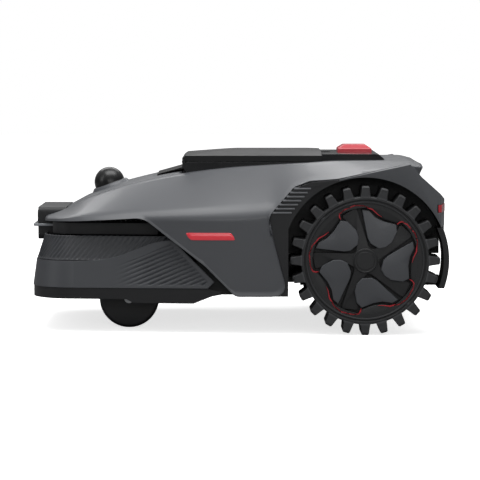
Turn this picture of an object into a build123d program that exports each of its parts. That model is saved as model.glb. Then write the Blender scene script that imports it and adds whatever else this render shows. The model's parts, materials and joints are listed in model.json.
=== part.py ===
from build123d import *
import os
from math import cos, radians, sin

# A robotic lawn mower with rear drive wheels, front casters, a height-adjustable cutting deck,
# a sprung front bumper, a lidar dome and a hinged control lid. Millimetres. The nose points
# along -X, the left side along -Y and up is +Z. The origin is on the ground, midway between
# the tip of the visor and the rear guards.

# ---------------------------------------------------------------- driving dimensions
nose_tip = -312.4  # tip of the camera visor
guard_gap = 14.4  # rear face of the rear guards, behind the lugs
wall = 3.0  # moulded covers and trays
seam = 0.6  # gap between neighbouring covers

body_half_width = 205.0  # upper shell at its widest
track_inner = 155.0  # inner face of a drive wheel, from the centre plane
wheel_width = 60.0
wheel_radius = 110.0  # over the lugs
lug_height = 16.0
tyre_wall = 10.0  # from the rim to the foot of the lugs
wheel_x = 188.0
lug_count = 24
lug_root = 16.0
lug_tip = 11.0
arch_gap = 12.0  # wheel arch beyond the lugs
arch_front_gap = 3.0  # straight front edge of the arch, ahead of the lugs
axle_radius = 7.0
running_gap = 0.05  # radial clearance of shafts and pins in their bores
petal_count = 5

caster_pivot_x = -184.0
caster_pivot_y = 104.0
caster_trail = 20.0
caster_radius = 45.0
caster_width = 22.0
caster_stem_radius = 6.0
caster_axle_radius = 4.0
caster_side_gap = 1.5
caster_arm = 4.0
caster_well_gap = 4.0  # swept circle of the caster to its well

pan_bottom = 56.0
pan_inset = 21.0  # chassis tray, inside the outer face of the bumper
caster_roof_gap = 14.0  # top of the caster to the top of the tray above it
pan_mid_top = 134.0
pan_mid_front = -60.0
pan_rear_gap = 5.0  # tray ahead of the wheel arch
pan_side_gap = 2.0  # tray to the inside of the upper shell
pan_mid_inset = 24.0  # tray behind the bumper, which leans inwards and slides back
motor_bay_front = 95.0
motor_bay_rear = 270.0
motor_bay_drop = 42.0  # floor of the motor bay below the wheel axis
motor_bay_rise = 40.0  # its open top above the wheel axis
motor_bay_gap = 10.0  # motor bay to the drive wheel
neck_height = 8.0
motor_radius = 28.0
motor_inner = 60.0
motor_nose_radius = 12.0

deck_x = -34.0
blade_circle = 90.0
deck_well_gap = 9.0  # blade circle to the wall of the well
deck_travel = 20.0  # up and down from the middle cutting height
blade_reach = 12.0  # blade tips beyond the disc
disc_thickness = 2.5
disc_bottom = 51.0
blade_pivot_inset = 8.0  # pivots inside the edge of the disc
blade_thickness = 1.2
blade_gap = 0.6
blade_width = 16.0
blade_pin_radius = 2.5
blade_count = 3
spindle_radius = 5.0
guide_post_radius = 5.0
guide_inset = 21.0  # guide posts inside the wall of the well
carriage_bottom = 70.0
carriage_plate = 4.0
motor_can_radius = 26.0
motor_can_height = 36.0
bridge_bottom = 147.0
bridge_plate = 4.0

bumper_front = -309.0
bumper_corner = 65.0
nose_inset = 30.0  # nose narrower than the upper shell, each side
bumper_rear_x = -22.0
bumper_rear_inset = 8.0  # rear end of the bumper inside the upper shell
bumper_bottom = 67.0
bumper_shoulder = 106.0  # top of the plain bumper face at the front
bumper_lean = 8.0  # degrees
bumper_wall = 3.5
skin_top = 143.0
skin_lean = 18.0  # degrees
skin_inset = 6.0  # foot of the ribbed skin behind the face of the bumper
trim_bottom = 50.0
pin_radius = 4.0
pin_y = 45.0
pin_z = 92.0

camera_front = -305.0
camera_rear = -262.0
camera_half_width = 70.0
camera_bottom = 131.0
camera_top = 180.0
glass_thickness = 1.5
lens_radius = 7.0
lens_y = 40.0
lens_z = 166.0
visor_rear = -281.0
visor_side = 2.0  # visor wider than the camera housing, each side
visor_z = 153.0
visor_thickness = 3.8

lidar_x = -199.5
lidar_z = 215.0
lidar_radius = 23.5
lidar_tilt = 19.5  # degrees, nose down
lidar_ring = 34.0
lidar_core_radius = 15.0
lidar_dome_wall = 2.0

pod_front = -84.0
pod_rear = 222.0
pod_half_width = 92.0
pod_split = 250.0  # joint between the pod body and the lid
pod_top_rear = 262.0
lid_crown = 268.0
lid_rear = 128.0
lid_swing_gap = 0.8
hinge_radius = 3.0
hinge_end_gap = 0.5
panel_top = 240.0
key_count = 3
key_size = 14.0
key_pitch = 24.0
key_travel = 1.0
key_gap = 0.3
stop_front = 155.0
stop_rear = 207.0
stop_half_width = 30.0
stop_top = 274.0
stop_travel = 4.0
stop_gap = 0.5

tail_corner = 299.0  # tail at the outer face of the fenders, rounded off in plan
tail_flat = 309.6  # tail between the wheels
tail_light_bottom = 180.5
tail_light_top = 191.5
tail_light_proud = 1.2

# ---------------------------------------------------------------- derived sizes
wheel_z = wheel_radius  # the lugs stand on the ground
tail_end = wheel_x + wheel_radius + guard_gap
tread_radius = wheel_radius - lug_height
rim_radius = tread_radius - tyre_wall
motor_bay_bottom = wheel_z - motor_bay_drop
motor_bay_top = wheel_z + motor_bay_rise
wheel_outer = track_inner + wheel_width
arch_radius = wheel_radius + arch_gap
arch_front = wheel_x - wheel_radius - arch_front_gap
bay_half_width = track_inner - motor_bay_gap
pan_rear = arch_front - pan_rear_gap
caster_z = caster_radius
caster_x = caster_pivot_x + caster_trail
caster_sweep = ((caster_trail + caster_radius) ** 2 + (caster_width / 2) ** 2) ** 0.5
well_radius = caster_sweep + caster_well_gap
crown_bottom = 2 * caster_radius + 3.0
pan_front_top = 2 * caster_radius + caster_roof_gap
deck_well = blade_circle + deck_well_gap
bumper_flat = body_half_width - nose_inset - bumper_corner  # half width of the flat front
bumper_rear_y = body_half_width - bumper_rear_inset
disc_radius = blade_circle - blade_reach
blade_pivot_radius = disc_radius - blade_pivot_inset
guide_circle = deck_well - guide_inset
skin_y = body_half_width - 2.0  # outer face of the arch trims and fenders
liner_inner = track_inner - 8.0  # inner face of the wheel housing
tray_y = body_half_width - wall - pan_side_gap
reach = 400.0  # longer than any cut has to be

# Stations of the upper shell: x, half width, crease height, shoulder half width,
# shoulder height, crown height.
shell_stations = [
    (-292, body_half_width - 109, 165, 60, 168, 170),
    (-268, body_half_width - 65, 168, 80, 175, 177),
    (-228, body_half_width - 33, 172, 100, 194, 197),
    (-166, body_half_width - 17, 175, 108, 214, 220),
    (-88, body_half_width - 5, 177, 110, 231, 236),
    (-8, body_half_width, 178, 112, 242, 243),
    (44, body_half_width, 178, 113, 245.5, 246.5),
    (103, body_half_width, 216, 114, 249, 250),
    (149, body_half_width - 2, 226, 115, 252, 253),
    (216, body_half_width - 13, 241, 116, 256, 256.5),
    (255, body_half_width - 27, 249, 116, 257.5, 258),
    (280, body_half_width - 45, 248.5, 110, 250.5, 251),
]

# Lower edge of the upper shell in side view, nose to tail: x, z and corner radius.
shell_edge = [
    (-reach, 160.5, 0),
    (-305, 160.5, 0),
    (-139, 171, 35),
    (-48, 101, 90),
    (-3, 55.6, 14),
    (arch_front + 1, 55.6, 22),
    (arch_front - 31, 172, 25),
    (84, 216, 14),
    (107, 225, 14),
    (149, 229, 60),
    (259, 252.5, 0),
    (300, 246, 0),
]


# ---------------------------------------------------------------- shared outlines
def section(x, half_width, crease, shoulder, shoulder_z, crown, inset):
    """Cross-section of the upper shell at one station, drawn inwards by inset."""
    with BuildSketch(Plane.YZ.offset(x)) as outline:
        with BuildLine():
            Polyline(
                (0, 0),
                (half_width - inset, 0),
                (half_width - inset, crease - inset),
                (shoulder - inset / 2, shoulder_z - inset),
                (0, crown - inset),
            )
            mirror(about=Plane.YZ)
        make_face()
    return outline.sketch


def nose_plan(inset, rear_x):
    """Plan of the nose: flat front, round corners and sides that flare towards the rear."""
    side = bumper_flat + bumper_corner - inset
    corner_x = bumper_front + bumper_corner
    slope = (bumper_rear_y - bumper_flat - bumper_corner) / (bumper_rear_x - corner_x)
    with BuildSketch() as plan:
        with BuildLine():
            Line((bumper_front + inset, 0), (bumper_front + inset, -bumper_flat))
            CenterArc((corner_x, -bumper_flat), bumper_corner - inset, 180, 90)
            Line((corner_x, -side), (rear_x, -side - slope * (rear_x - corner_x)))
            Line((rear_x, -side - slope * (rear_x - corner_x)), (rear_x, 0))
            mirror(about=Plane.XZ)
        make_face()
    return plan.sketch


def outline(points):
    """Closed outline in side view whose corners are x, z and corner radius."""
    with BuildSketch() as face:
        with BuildLine():
            FilletPolyline(
                *[(x, z) for x, z, corner in points],
                radius=[corner for x, z, corner in points],
                close=True,
            )
        make_face()
    return face.sketch


def below_shell_edge(gap):
    """Everything under the lower edge of the upper shell, less a seam."""
    with BuildSketch() as area:
        add(outline(shell_edge + [(reach, 246, 0), (reach, -reach, 0), (-reach, -reach, 0)]))
        offset(amount=-gap)
    return area.sketch


def wheel_arch(grow):
    """Side view of the wheel arch: round over the wheel and straight down in front."""
    with BuildSketch() as arch:
        with Locations((wheel_x, wheel_z)):
            Circle(arch_radius + grow)
        with Locations((wheel_x, wheel_z - reach / 2)):
            Rectangle(2 * (arch_radius + grow), reach)
        with Locations((arch_front - grow - reach / 2, wheel_z)):
            Rectangle(reach, 3 * reach, mode=Mode.SUBTRACT)
    return arch.sketch


def nose_ring(bottom, top, inset, thickness, lean):
    """Wall round the nose that leans back, before its sides are trimmed."""
    with BuildPart() as ring:
        with BuildSketch(Plane.XY.offset(bottom)):
            add(nose_plan(inset, bumper_rear_x))
        extrude(amount=top - bottom, taper=lean)
        with BuildSketch(Plane.XY.offset(bottom)):
            add(nose_plan(inset + thickness, reach))
        extrude(amount=top - bottom + thickness, taper=lean, mode=Mode.SUBTRACT)
    return ring.part


def tail_plan(grow):
    """Everything ahead of the tail, whose corners are rounded off in plan."""
    with BuildPart() as space:
        with BuildSketch() as plan:
            add(outline([
                (-reach, -reach, 0),
                (tail_corner - 20 + grow, -reach, 0),
                (tail_corner - 20 + grow, -skin_y - grow - 22, 0),
                (tail_corner + grow, -skin_y - grow, 8),
                (tail_flat + grow, -liner_inner - grow, 60),
                (tail_flat + 0.6 + grow, 0, 0),
                (-reach, 0, 0),
            ]))
            mirror(about=Plane.XZ)
        extrude(amount=reach)
    return space.part


def right_copy(left):
    """The right-hand copy of a piece of the left side."""
    with BuildPart() as right:
        mirror(left.part, about=Plane.XZ)
    return right


# ---------------------------------------------------------------- camera and lidar envelopes
with BuildPart() as camera_block:
    with BuildSketch(Plane.YZ.offset(camera_rear)):
        with Locations((0, (camera_bottom + camera_top) / 2)):
            RectangleRounded(2 * camera_half_width, camera_top - camera_bottom, 8)
    extrude(amount=camera_front - camera_rear)

with BuildPart() as camera_space:
    with BuildSketch(Plane.YZ.offset(camera_rear + seam)):
        with Locations((0, camera_bottom + reach / 2 - seam)):
            Rectangle(2 * (camera_half_width + seam), reach)
    extrude(amount=-reach)

lidar_plane = Plane(
    origin=(lidar_x, 0, lidar_z),
    z_dir=(-sin(radians(lidar_tilt)), 0, cos(radians(lidar_tilt))),
)

# ---------------------------------------------------------------- upper shell
with BuildPart() as shell_hollow:
    for station in shell_stations[:-1]:
        add(section(*station, wall))
    loft(ruled=True)

with BuildPart() as below_shell:
    with BuildSketch(Plane.XZ):
        add(outline(shell_edge + [(reach, 246, 0), (reach, -reach, 0), (-reach, -reach, 0)]))
    extrude(amount=reach, both=True)

side_light_outline = [(-79, 151), (-8, 151), (-1, 139), (-70, 139)]

with BuildPart() as upper_shell:
    for station in shell_stations:
        add(section(*station, 0))
    loft(ruled=True)
    add(shell_hollow.part, mode=Mode.SUBTRACT)
    add(below_shell.part, mode=Mode.SUBTRACT)
    add(camera_space.part, mode=Mode.SUBTRACT)
    with BuildSketch(lidar_plane):
        Circle(lidar_ring + seam)
    extrude(amount=lidar_ring, both=True, mode=Mode.SUBTRACT)
    with BuildSketch(Plane.XY.offset(pan_mid_top)):
        with Locations(((pod_front + pod_rear) / 2, 0)):
            Rectangle(pod_rear - pod_front + 2 * seam, 2 * (pod_half_width + seam))
    extrude(amount=reach, mode=Mode.SUBTRACT)
    with BuildSketch(Plane.XZ):
        Polygon(*side_light_outline, align=None)
        offset(amount=seam / 2)
    extrude(amount=reach, both=True, mode=Mode.SUBTRACT)
    for side in (-1, 1):
        with BuildSketch(Plane.XZ.offset(-side * liner_inner)):
            add(wheel_arch(0))
        extrude(amount=-side * reach, mode=Mode.SUBTRACT)

with BuildPart() as side_lights:
    for side in (-1, 1):
        with BuildSketch(Plane.XZ.offset(-side * (body_half_width - 2 * wall))):
            Polygon(*side_light_outline, align=None)
        extrude(amount=-side * 2 * wall)

# ---------------------------------------------------------------- arch trims and fenders
arch_split = 150.0  # joint between the arch trim and the fender
liner_rise = 6.0  # lower edge of the wheel housing above the axle
fender_foot = wheel_z + 48.0
fender_inner = wheel_x + wheel_radius - 2.0
vent_count = 7
vent_pitch = 5.94
vent_height = 2.6
vent_length = 24.8  # of the top slot; each one below is a little longer
vent_growth = 0.12
vent_slope = 0.853  # run of the slots towards the nose as they go down
vent_x = 95.5
vent_top = 216.4

with BuildPart() as vent_panel_left:
    with BuildSketch(Plane.XZ.offset(skin_y - wall)) as panel_face:
        add(below_shell_edge(seam))
        with Locations((arch_split - seam - reach / 2, pan_bottom + reach / 2)):
            Rectangle(reach, reach, mode=Mode.INTERSECT)
        with Locations((reach / 2, wheel_z)):
            Rectangle(reach, reach, mode=Mode.INTERSECT)
        add(wheel_arch(0), mode=Mode.SUBTRACT)
    extrude(amount=wall)
    with BuildSketch(Plane.XZ.offset(track_inner - 5)):
        add(panel_face.sketch_local)
        add(wheel_arch(wall), mode=Mode.INTERSECT)
    extrude(amount=skin_y - wall - track_inner + 5)
    with BuildSketch(Plane.XZ.offset(skin_y)):
        for slat in range(vent_count):
            drop = slat * vent_pitch
            with Locations((vent_x - vent_slope * drop, vent_top - drop)):
                SlotOverall(vent_length + vent_growth * drop, vent_height)
    extrude(amount=-wall / 2, mode=Mode.SUBTRACT)

fender_rear = [
    (arch_split, wheel_z, 0),
    (arch_split, 300, 0),
    (211, 300, 0),
    (271, 232.5, 0),
    (299, 207.5, 6),
    (311, 196, 3),
    (311, fender_foot, 0),
    (fender_inner, fender_foot, 0),
    (fender_inner, wheel_z, 0),
]

with BuildPart() as fender_hollow:
    with BuildSketch(Plane.XZ.offset(liner_inner)) as fender_face:
        add(below_shell_edge(seam))
        add(outline(fender_rear), mode=Mode.INTERSECT)
        add(wheel_arch(0), mode=Mode.SUBTRACT)
        offset(amount=-wall)
    extrude(amount=skin_y - liner_inner - wall)
    add(tail_plan(-wall), mode=Mode.INTERSECT)

with BuildPart() as fender_left:
    with BuildSketch(Plane.XZ.offset(liner_inner)):
        add(below_shell_edge(seam))
        add(outline(fender_rear), mode=Mode.INTERSECT)
        add(wheel_arch(0), mode=Mode.SUBTRACT)
    extrude(amount=skin_y - liner_inner)
    add(tail_plan(0), mode=Mode.INTERSECT)
    add(fender_hollow.part, mode=Mode.SUBTRACT)
    with BuildSketch(Plane.XZ.offset(liner_inner)):
        with Locations((306, (tail_light_bottom + tail_light_top) / 2)):
            Rectangle(24, tail_light_top - tail_light_bottom + seam)
    extrude(amount=skin_y, mode=Mode.SUBTRACT)
    with BuildSketch(Plane.XZ.offset(liner_inner)):
        add(wheel_arch(0))
        with Locations((wheel_x, wheel_z + liner_rise + reach / 2)):
            Rectangle(2 * (wheel_x - arch_front), reach, mode=Mode.INTERSECT)
        with Locations((wheel_x, wheel_z)):
            Circle(motor_nose_radius + seam, mode=Mode.SUBTRACT)
    extrude(amount=wall)

with BuildPart() as tail_lights:
    for side in (-1, 1):
        with BuildSketch(Plane.XZ.offset(-side * (track_inner + 4))):
            with Locations((304, (tail_light_bottom + tail_light_top) / 2)):
                Rectangle(2 * (tail_end - 304), tail_light_top - tail_light_bottom)
        extrude(amount=-side * (skin_y - track_inner - 4))
    add(tail_plan(tail_light_proud), mode=Mode.INTERSECT)

# ---------------------------------------------------------------- tail cover, hatch and guards
cover_half_width = liner_inner - seam
cover_profile = [
    (254, 243, 0),
    (270, 232, 0),
    (299, 206.5, 6),
    (309, 196, 3),
    (309, motor_bay_top - 9, 6),
    (motor_bay_rear + 4, motor_bay_top - 9, 0),
    (motor_bay_rear + 4, motor_bay_top + 4, 0),
    (254, motor_bay_top + 4, 0),
]

with BuildPart() as rear_cover:
    with BuildSketch(Plane.XZ):
        add(outline(cover_profile))
    extrude(amount=cover_half_width, both=True)
    with BuildSketch(Plane.XZ):
        add(outline(cover_profile))
        offset(amount=-wall)
        with Locations((262, 196)):
            Rectangle(26, 76)
    extrude(amount=cover_half_width - wall, both=True, mode=Mode.SUBTRACT)

with BuildPart() as rear_hatch:
    with BuildSketch(Plane(origin=(284, 0, 219.7), x_dir=(0, 1, 0), z_dir=(25.5, 0, 29))):
        with Locations((0, 0)):
            RectangleRounded(180, 30, 5)
        with GridLocations(0, 5, 1, 5):
            SlotOverall(150, 2.4, mode=Mode.SUBTRACT)
    extrude(amount=2.5)

guard_inner = arch_radius - arch_gap / 2
guard_outer = tail_end - wheel_x
guard_width = 49.0
guard_arm = 7.0
guard_bottom = wheel_z - 42.0
guard_top = wheel_z + 47.4
with BuildPart() as rear_guard_left:
    with BuildSketch(Plane.XZ.offset(bay_half_width + guard_arm - 1)):
        with Locations((wheel_x, wheel_z)):
            Circle(guard_outer)
            Circle(guard_inner, mode=Mode.SUBTRACT)
        with Locations((wheel_x + reach / 2 + 60, (guard_bottom + guard_top) / 2)):
            Rectangle(reach, guard_top - guard_bottom, mode=Mode.INTERSECT)
    extrude(amount=guard_width)
    with BuildSketch(Plane.XZ.offset(bay_half_width)):
        with BuildLine():
            Polyline((262, wheel_z - 38), (262, wheel_z - 21), (300, wheel_z - 26), (306, wheel_z - 30),
                     (304, guard_bottom + 0.5), (270, guard_bottom + 0.5), close=True)
        make_face()
    extrude(amount=guard_arm)

with BuildPart() as charge_contacts:
    for side in (-1, 1):
        with BuildSketch(Plane.YZ.offset(309)):
            with Locations((side * 28, 158)):
                RectangleRounded(18, 10, 2)
        extrude(amount=1.5)

# ---------------------------------------------------------------- camera, sensor band and lidar
visor_half_width = camera_half_width + visor_side
with BuildPart() as visor_space:
    with BuildSketch(Plane.XY.offset(visor_z - visor_thickness / 2)):
        with Locations(((nose_tip + visor_rear) / 2, 0)):
            Rectangle(visor_rear - nose_tip, 2 * visor_half_width)
    extrude(amount=visor_thickness)

with BuildPart() as camera_visor:
    add(visor_space.part)
    fillet(camera_visor.edges().filter_by(Axis.Z).group_by(Axis.X)[0], 6)

lens_places = [(-lens_y, lens_z), (lens_y, lens_z)]
with BuildPart() as camera_housing:
    add(camera_block.part)
    with BuildSketch(Plane.YZ.offset(camera_rear)):
        with Locations((0, (camera_bottom + camera_top) / 2)):
            Rectangle(2 * (camera_half_width - wall), camera_top - camera_bottom - 2 * wall)
    extrude(amount=camera_front - camera_rear + wall, mode=Mode.SUBTRACT)
    add(visor_space.part, mode=Mode.SUBTRACT)
    with BuildSketch(Plane.YZ.offset(camera_front)):
        with Locations(*lens_places):
            Circle(lens_radius)
    extrude(amount=2 * wall, mode=Mode.SUBTRACT)

with BuildPart() as camera_glass:
    with BuildSketch(Plane.YZ.offset(camera_front)):
        with Locations((0, lens_z)):
            RectangleRounded(2 * camera_half_width - 16, 18, 5)
    extrude(amount=-glass_thickness)

with BuildPart() as camera_lenses:
    with BuildSketch(Plane.YZ.offset(camera_front)):
        with Locations(*lens_places):
            Circle(lens_radius)
    extrude(amount=wall)
    with BuildSketch(Plane.YZ.offset(camera_front + wall)):
        with Locations(*lens_places):
            Circle(lens_radius + 2)
    extrude(amount=14)

band_bottom = skin_top + 0.8
band_top = 162.0
band_inset = 30.0
with BuildPart() as sensor_band:
    add(nose_ring(band_bottom, band_top, band_inset, wall, 0))
    with BuildSketch(Plane.XY.offset(band_bottom)):
        with Locations((-118 + reach / 2, 0)):
            Rectangle(reach, reach)
    extrude(amount=reach, mode=Mode.SUBTRACT)
    add(camera_space.part, mode=Mode.SUBTRACT)

with BuildPart(lidar_plane) as lidar_base:
    with Locations((0, 0, -12)):
        Cone(lidar_ring, lidar_radius + 3, 10, align=(Align.CENTER, Align.CENTER, Align.MIN))
    with Locations((0, 0, -4)):
        Cylinder(lidar_radius + running_gap, 2, align=(Align.CENTER, Align.CENTER, Align.MIN),
                 mode=Mode.SUBTRACT)

with BuildPart(lidar_plane) as lidar_dome:
    Sphere(lidar_radius)
    Sphere(lidar_radius - lidar_dome_wall, mode=Mode.SUBTRACT)
    with Locations((0, 0, -4)):
        Box(reach, reach, reach, align=(Align.CENTER, Align.CENTER, Align.MAX), mode=Mode.SUBTRACT)

with BuildPart(lidar_plane) as lidar_core:
    with Locations((0, 0, -3.5)):
        Cylinder(lidar_core_radius, 15, align=(Align.CENTER, Align.CENTER, Align.MIN))
    with Locations((lidar_core_radius, 0, 4)):
        Box(6, 12, 8, mode=Mode.SUBTRACT)

# ---------------------------------------------------------------- top pod, lid, keys and stop button
hinge_x = pod_front + hinge_radius - 0.5
hinge_z = pod_split + seam / 2
barrel_end = pod_half_width - wall - hinge_end_gap
hinge_pin_radius = 1.2
key_places = [(20 + index * key_pitch, 0) for index in range(key_count)]
stop_x = (stop_front + stop_rear) / 2
pod_bottom = 233.0

with BuildPart() as pod_hollow:
    with BuildSketch(Plane.XY.offset(pod_bottom - wall)):
        with Locations(((pod_front + lid_rear) / 2, 0)):
            Rectangle(lid_rear - pod_front - 2 * wall, 2 * (pod_half_width - wall))
    extrude(amount=reach)
    with BuildSketch(Plane.XY.offset(pod_bottom - wall)):
        with Locations(((lid_rear + pod_rear) / 2, 0)):
            Rectangle(pod_rear - lid_rear - 2 * wall, 2 * (pod_half_width - wall))
    extrude(amount=pod_top_rear - pod_bottom)

with BuildPart() as top_pod:
    with BuildSketch(Plane.XZ):
        with BuildLine():
            Polyline(
                (pod_front + 8, pod_bottom),
                (pod_front, pod_bottom + 10),
                (pod_front, pod_split),
                (lid_rear + seam, pod_split),
                (lid_rear + seam, pod_top_rear),
                (pod_rear - 8, pod_top_rear),
                (pod_rear, pod_top_rear - 7),
                (pod_rear, pod_bottom),
                close=True,
            )
        make_face()
    extrude(amount=pod_half_width, both=True)
    add(pod_hollow.part, mode=Mode.SUBTRACT)
    with BuildSketch(Plane.XZ):
        Polygon((-124, 229.8), (pod_front + 2.2, 241.5), (pod_front + 2.2, 238.7), align=None)
    extrude(amount=60, both=True)
    with BuildSketch(Plane.XZ):
        with Locations((hinge_x, hinge_z)):
            Circle(hinge_radius + lid_swing_gap)
    extrude(amount=reach, both=True, mode=Mode.SUBTRACT)
    for side in (-1, 1):
        with BuildSketch(Plane.XZ.offset(-side * (pod_half_width - wall))):
            with Locations((hinge_x, hinge_z)):
                Circle(hinge_radius)
            with Locations((hinge_x, hinge_z - hinge_radius)):
                Rectangle(2 * hinge_radius - 1, 2 * hinge_radius)
        extrude(amount=-side * wall)
        with BuildSketch(Plane.XZ.offset(-side * (pod_half_width - wall))):
            with Locations((hinge_x, hinge_z)):
                Circle(hinge_pin_radius)
        extrude(amount=side * 2 * wall)
    with BuildSketch(Plane.XY.offset(pod_split)):
        with Locations((stop_x, 0)):
            Rectangle(stop_rear - stop_front + 2 * stop_gap, 2 * (stop_half_width + stop_gap))
    extrude(amount=reach, mode=Mode.SUBTRACT)
    with BuildSketch(Plane.XY.offset(pod_split + 5)):
        with Locations((lid_rear + 8, 0)):
            Rectangle(16, 36)
    extrude(amount=reach, mode=Mode.SUBTRACT)

with BuildPart() as control_lid:
    with BuildSketch(Plane.XZ):
        with BuildLine():
            Polyline(
                (pod_front, pod_split + seam),
                (pod_front, 256),
                (pod_front + 5, 259.5),
                (pod_front + 90, lid_crown),
                (lid_rear - 26, lid_crown),
                (lid_rear, lid_crown - 2),
                (lid_rear, pod_split + seam),
                close=True,
            )
        make_face()
    extrude(amount=pod_half_width, both=True)
    with BuildSketch(Plane.YZ.offset(pod_front)):
        with BuildLine():
            ThreePointArc((-pod_half_width, 259.5), (0, lid_crown), (pod_half_width, 259.5))
            Polyline(
                (pod_half_width, 259.5),
                (pod_half_width, pod_split),
                (-pod_half_width, pod_split),
                (-pod_half_width, 259.5),
            )
        make_face()
    extrude(amount=lid_rear - pod_front, mode=Mode.INTERSECT)
    with BuildSketch(Plane.XY.offset(pod_split)):
        with Locations(((pod_front + lid_rear) / 2, 0)):
            Rectangle(lid_rear - pod_front - 2 * wall, 2 * (pod_half_width - wall))
    extrude(amount=6, mode=Mode.SUBTRACT)
    with BuildSketch(Plane.XZ.offset(-barrel_end)):
        with Locations((hinge_x, hinge_z)):
            Circle(hinge_radius)
    extrude(amount=2 * barrel_end)
    for side in (-1, 1):
        with BuildSketch(Plane.XZ.offset(-side * barrel_end)):
            with Locations((hinge_x, hinge_z)):
                Circle(hinge_radius + lid_swing_gap)
        extrude(amount=-side * reach, mode=Mode.SUBTRACT)
    with BuildSketch(Plane.XZ.offset(-pod_half_width)):
        with Locations((hinge_x, hinge_z)):
            Circle(hinge_pin_radius + running_gap)
    extrude(amount=2 * pod_half_width, mode=Mode.SUBTRACT)

with BuildPart() as control_panel:
    with BuildSketch(Plane.XY.offset(panel_top - wall)):
        with Locations(((pod_front + lid_rear) / 2, 0)):
            Rectangle(lid_rear - pod_front - 2 * wall, 2 * (pod_half_width - wall))
        with Locations(*key_places):
            RectangleRounded(key_size + 2 * key_gap, key_size + 2 * key_gap, 2 + key_gap,
                             mode=Mode.SUBTRACT)
    extrude(amount=wall)
    with BuildSketch(Plane.XY.offset(panel_top)):
        with Locations((-40, 0)):
            RectangleRounded(46, 30, 3)
    extrude(amount=1.5)

keys = []
for place in key_places:
    with BuildPart() as key:
        with BuildSketch(Plane.XY.offset(panel_top - 2 * wall)):
            with Locations(place):
                RectangleRounded(key_size, key_size, 2)
        extrude(amount=2 * wall + 2 * key_travel)
    keys.append(key)

with BuildPart() as stop_button:
    with BuildSketch(Plane.XY.offset(pod_split + stop_travel)):
        with Locations((stop_x, 0)):
            Rectangle(stop_rear - stop_front, 2 * stop_half_width)
    extrude(amount=stop_top - pod_split - stop_travel)
    chamfer(stop_button.faces().sort_by(Axis.Z)[-1].edges(), 6, 9)

# ---------------------------------------------------------------- nose parts that move with the bumper
bumper_side = [
    (-reach, bumper_bottom, 0),
    (-reach, bumper_shoulder, 0),
    (-172, bumper_shoulder, 50),
    (-96, 138, 0),
    (-34, 77, 0),
    (-44, bumper_bottom, 0),
]
skin_side = [
    (-reach, bumper_shoulder + seam, 0),
    (-172, bumper_shoulder + seam, 50),
    (-97, 138, 0),
    (-104, skin_top, 0),
    (-reach, skin_top, 0),
]
trim_side = [
    (-reach, bumper_bottom - seam, 0),
    (-reach, trim_bottom, 0),
    (-165, trim_bottom, 0),
    (-154, 44.5, 0),
    (-65, 44.5, 0),
    (-37, 55.6, 0),
    (-24, 58, 0),
    (-24, 63, 0),
    (-43, bumper_bottom - seam, 0),
]

with BuildPart() as front_bumper:
    add(nose_ring(bumper_bottom, skin_top, 0, bumper_wall, bumper_lean))
    with BuildSketch(Plane.XZ):
        add(outline(bumper_side))
    extrude(amount=reach, both=True, mode=Mode.INTERSECT)
    with BuildSketch(Plane.YZ.offset(bumper_front + bumper_wall + 3)):
        with Locations((-pin_y, pin_z), (pin_y, pin_z)):
            Circle(pin_radius)
    extrude(amount=30)

with BuildPart() as ribbed_skin:
    add(nose_ring(bumper_shoulder, skin_top, skin_inset, wall, skin_lean))
    with BuildSketch(Plane.XZ):
        add(outline(skin_side))
    extrude(amount=reach, both=True, mode=Mode.INTERSECT)
    add(camera_space.part, mode=Mode.SUBTRACT)

with BuildPart() as base_trim:
    add(nose_ring(trim_bottom - 6, bumper_bottom, 1, bumper_wall, 0))
    with BuildSketch(Plane.XZ):
        add(outline(trim_side))
    extrude(amount=reach, both=True, mode=Mode.INTERSECT)
    for side in (-1, 1):
        for slot in range(4):
            angle = radians(180 - side * (8 + 16 * slot))
            corner_x = bumper_front + bumper_corner
            centre = (
                corner_x + bumper_corner * cos(angle),
                -side * bumper_flat + bumper_corner * sin(angle),
                58,
            )
            with Locations(Location(centre, (0, 0, 180 - side * (8 + 16 * slot)))):
                Box(3, 5, 10, mode=Mode.SUBTRACT)

# ---------------------------------------------------------------- chassis
well_places = [(caster_pivot_x, -caster_pivot_y), (caster_pivot_x, caster_pivot_y)]
bay_centre = (motor_bay_front + motor_bay_rear) / 2
bay_length = motor_bay_rear - motor_bay_front
battery_front = 101.0
battery_length = 54.0
battery_half_width = 100.0
screw_radius = 1.2
screw_head = 3.0
cover_thickness = 2.6
cover_lap = 6.0
cover_x = battery_front + battery_length / 2
screw_places = [
    (cover_x + end * (battery_length / 2 + cover_lap / 2), side * (battery_half_width + cover_lap / 2))
    for end in (-1, 1)
    for side in (-1, 1)
]
board_places = [(133, -40), (133, 40), (233, -40), (233, 40)]
board_z = motor_bay_top + 15.0

with BuildPart() as tray_hollow:
    with BuildSketch(Plane.XY.offset(pan_bottom + wall)):
        add(nose_plan(pan_inset + wall, pan_mid_front + 2 * wall))
        with Locations(((pan_mid_front + pan_rear) / 2, 0)):
            Rectangle(pan_rear - pan_mid_front - 2 * wall, 2 * (bumper_rear_y - pan_mid_inset - wall))
        with Locations((pan_rear / 2 + wall, 0)):
            Rectangle(pan_rear - 4 * wall, 2 * (tray_y - wall))
        with Locations(*well_places):
            Circle(well_radius + wall, mode=Mode.SUBTRACT)
        with Locations((deck_x, 0)):
            Circle(deck_well + wall, mode=Mode.SUBTRACT)
    extrude(amount=reach)

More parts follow.
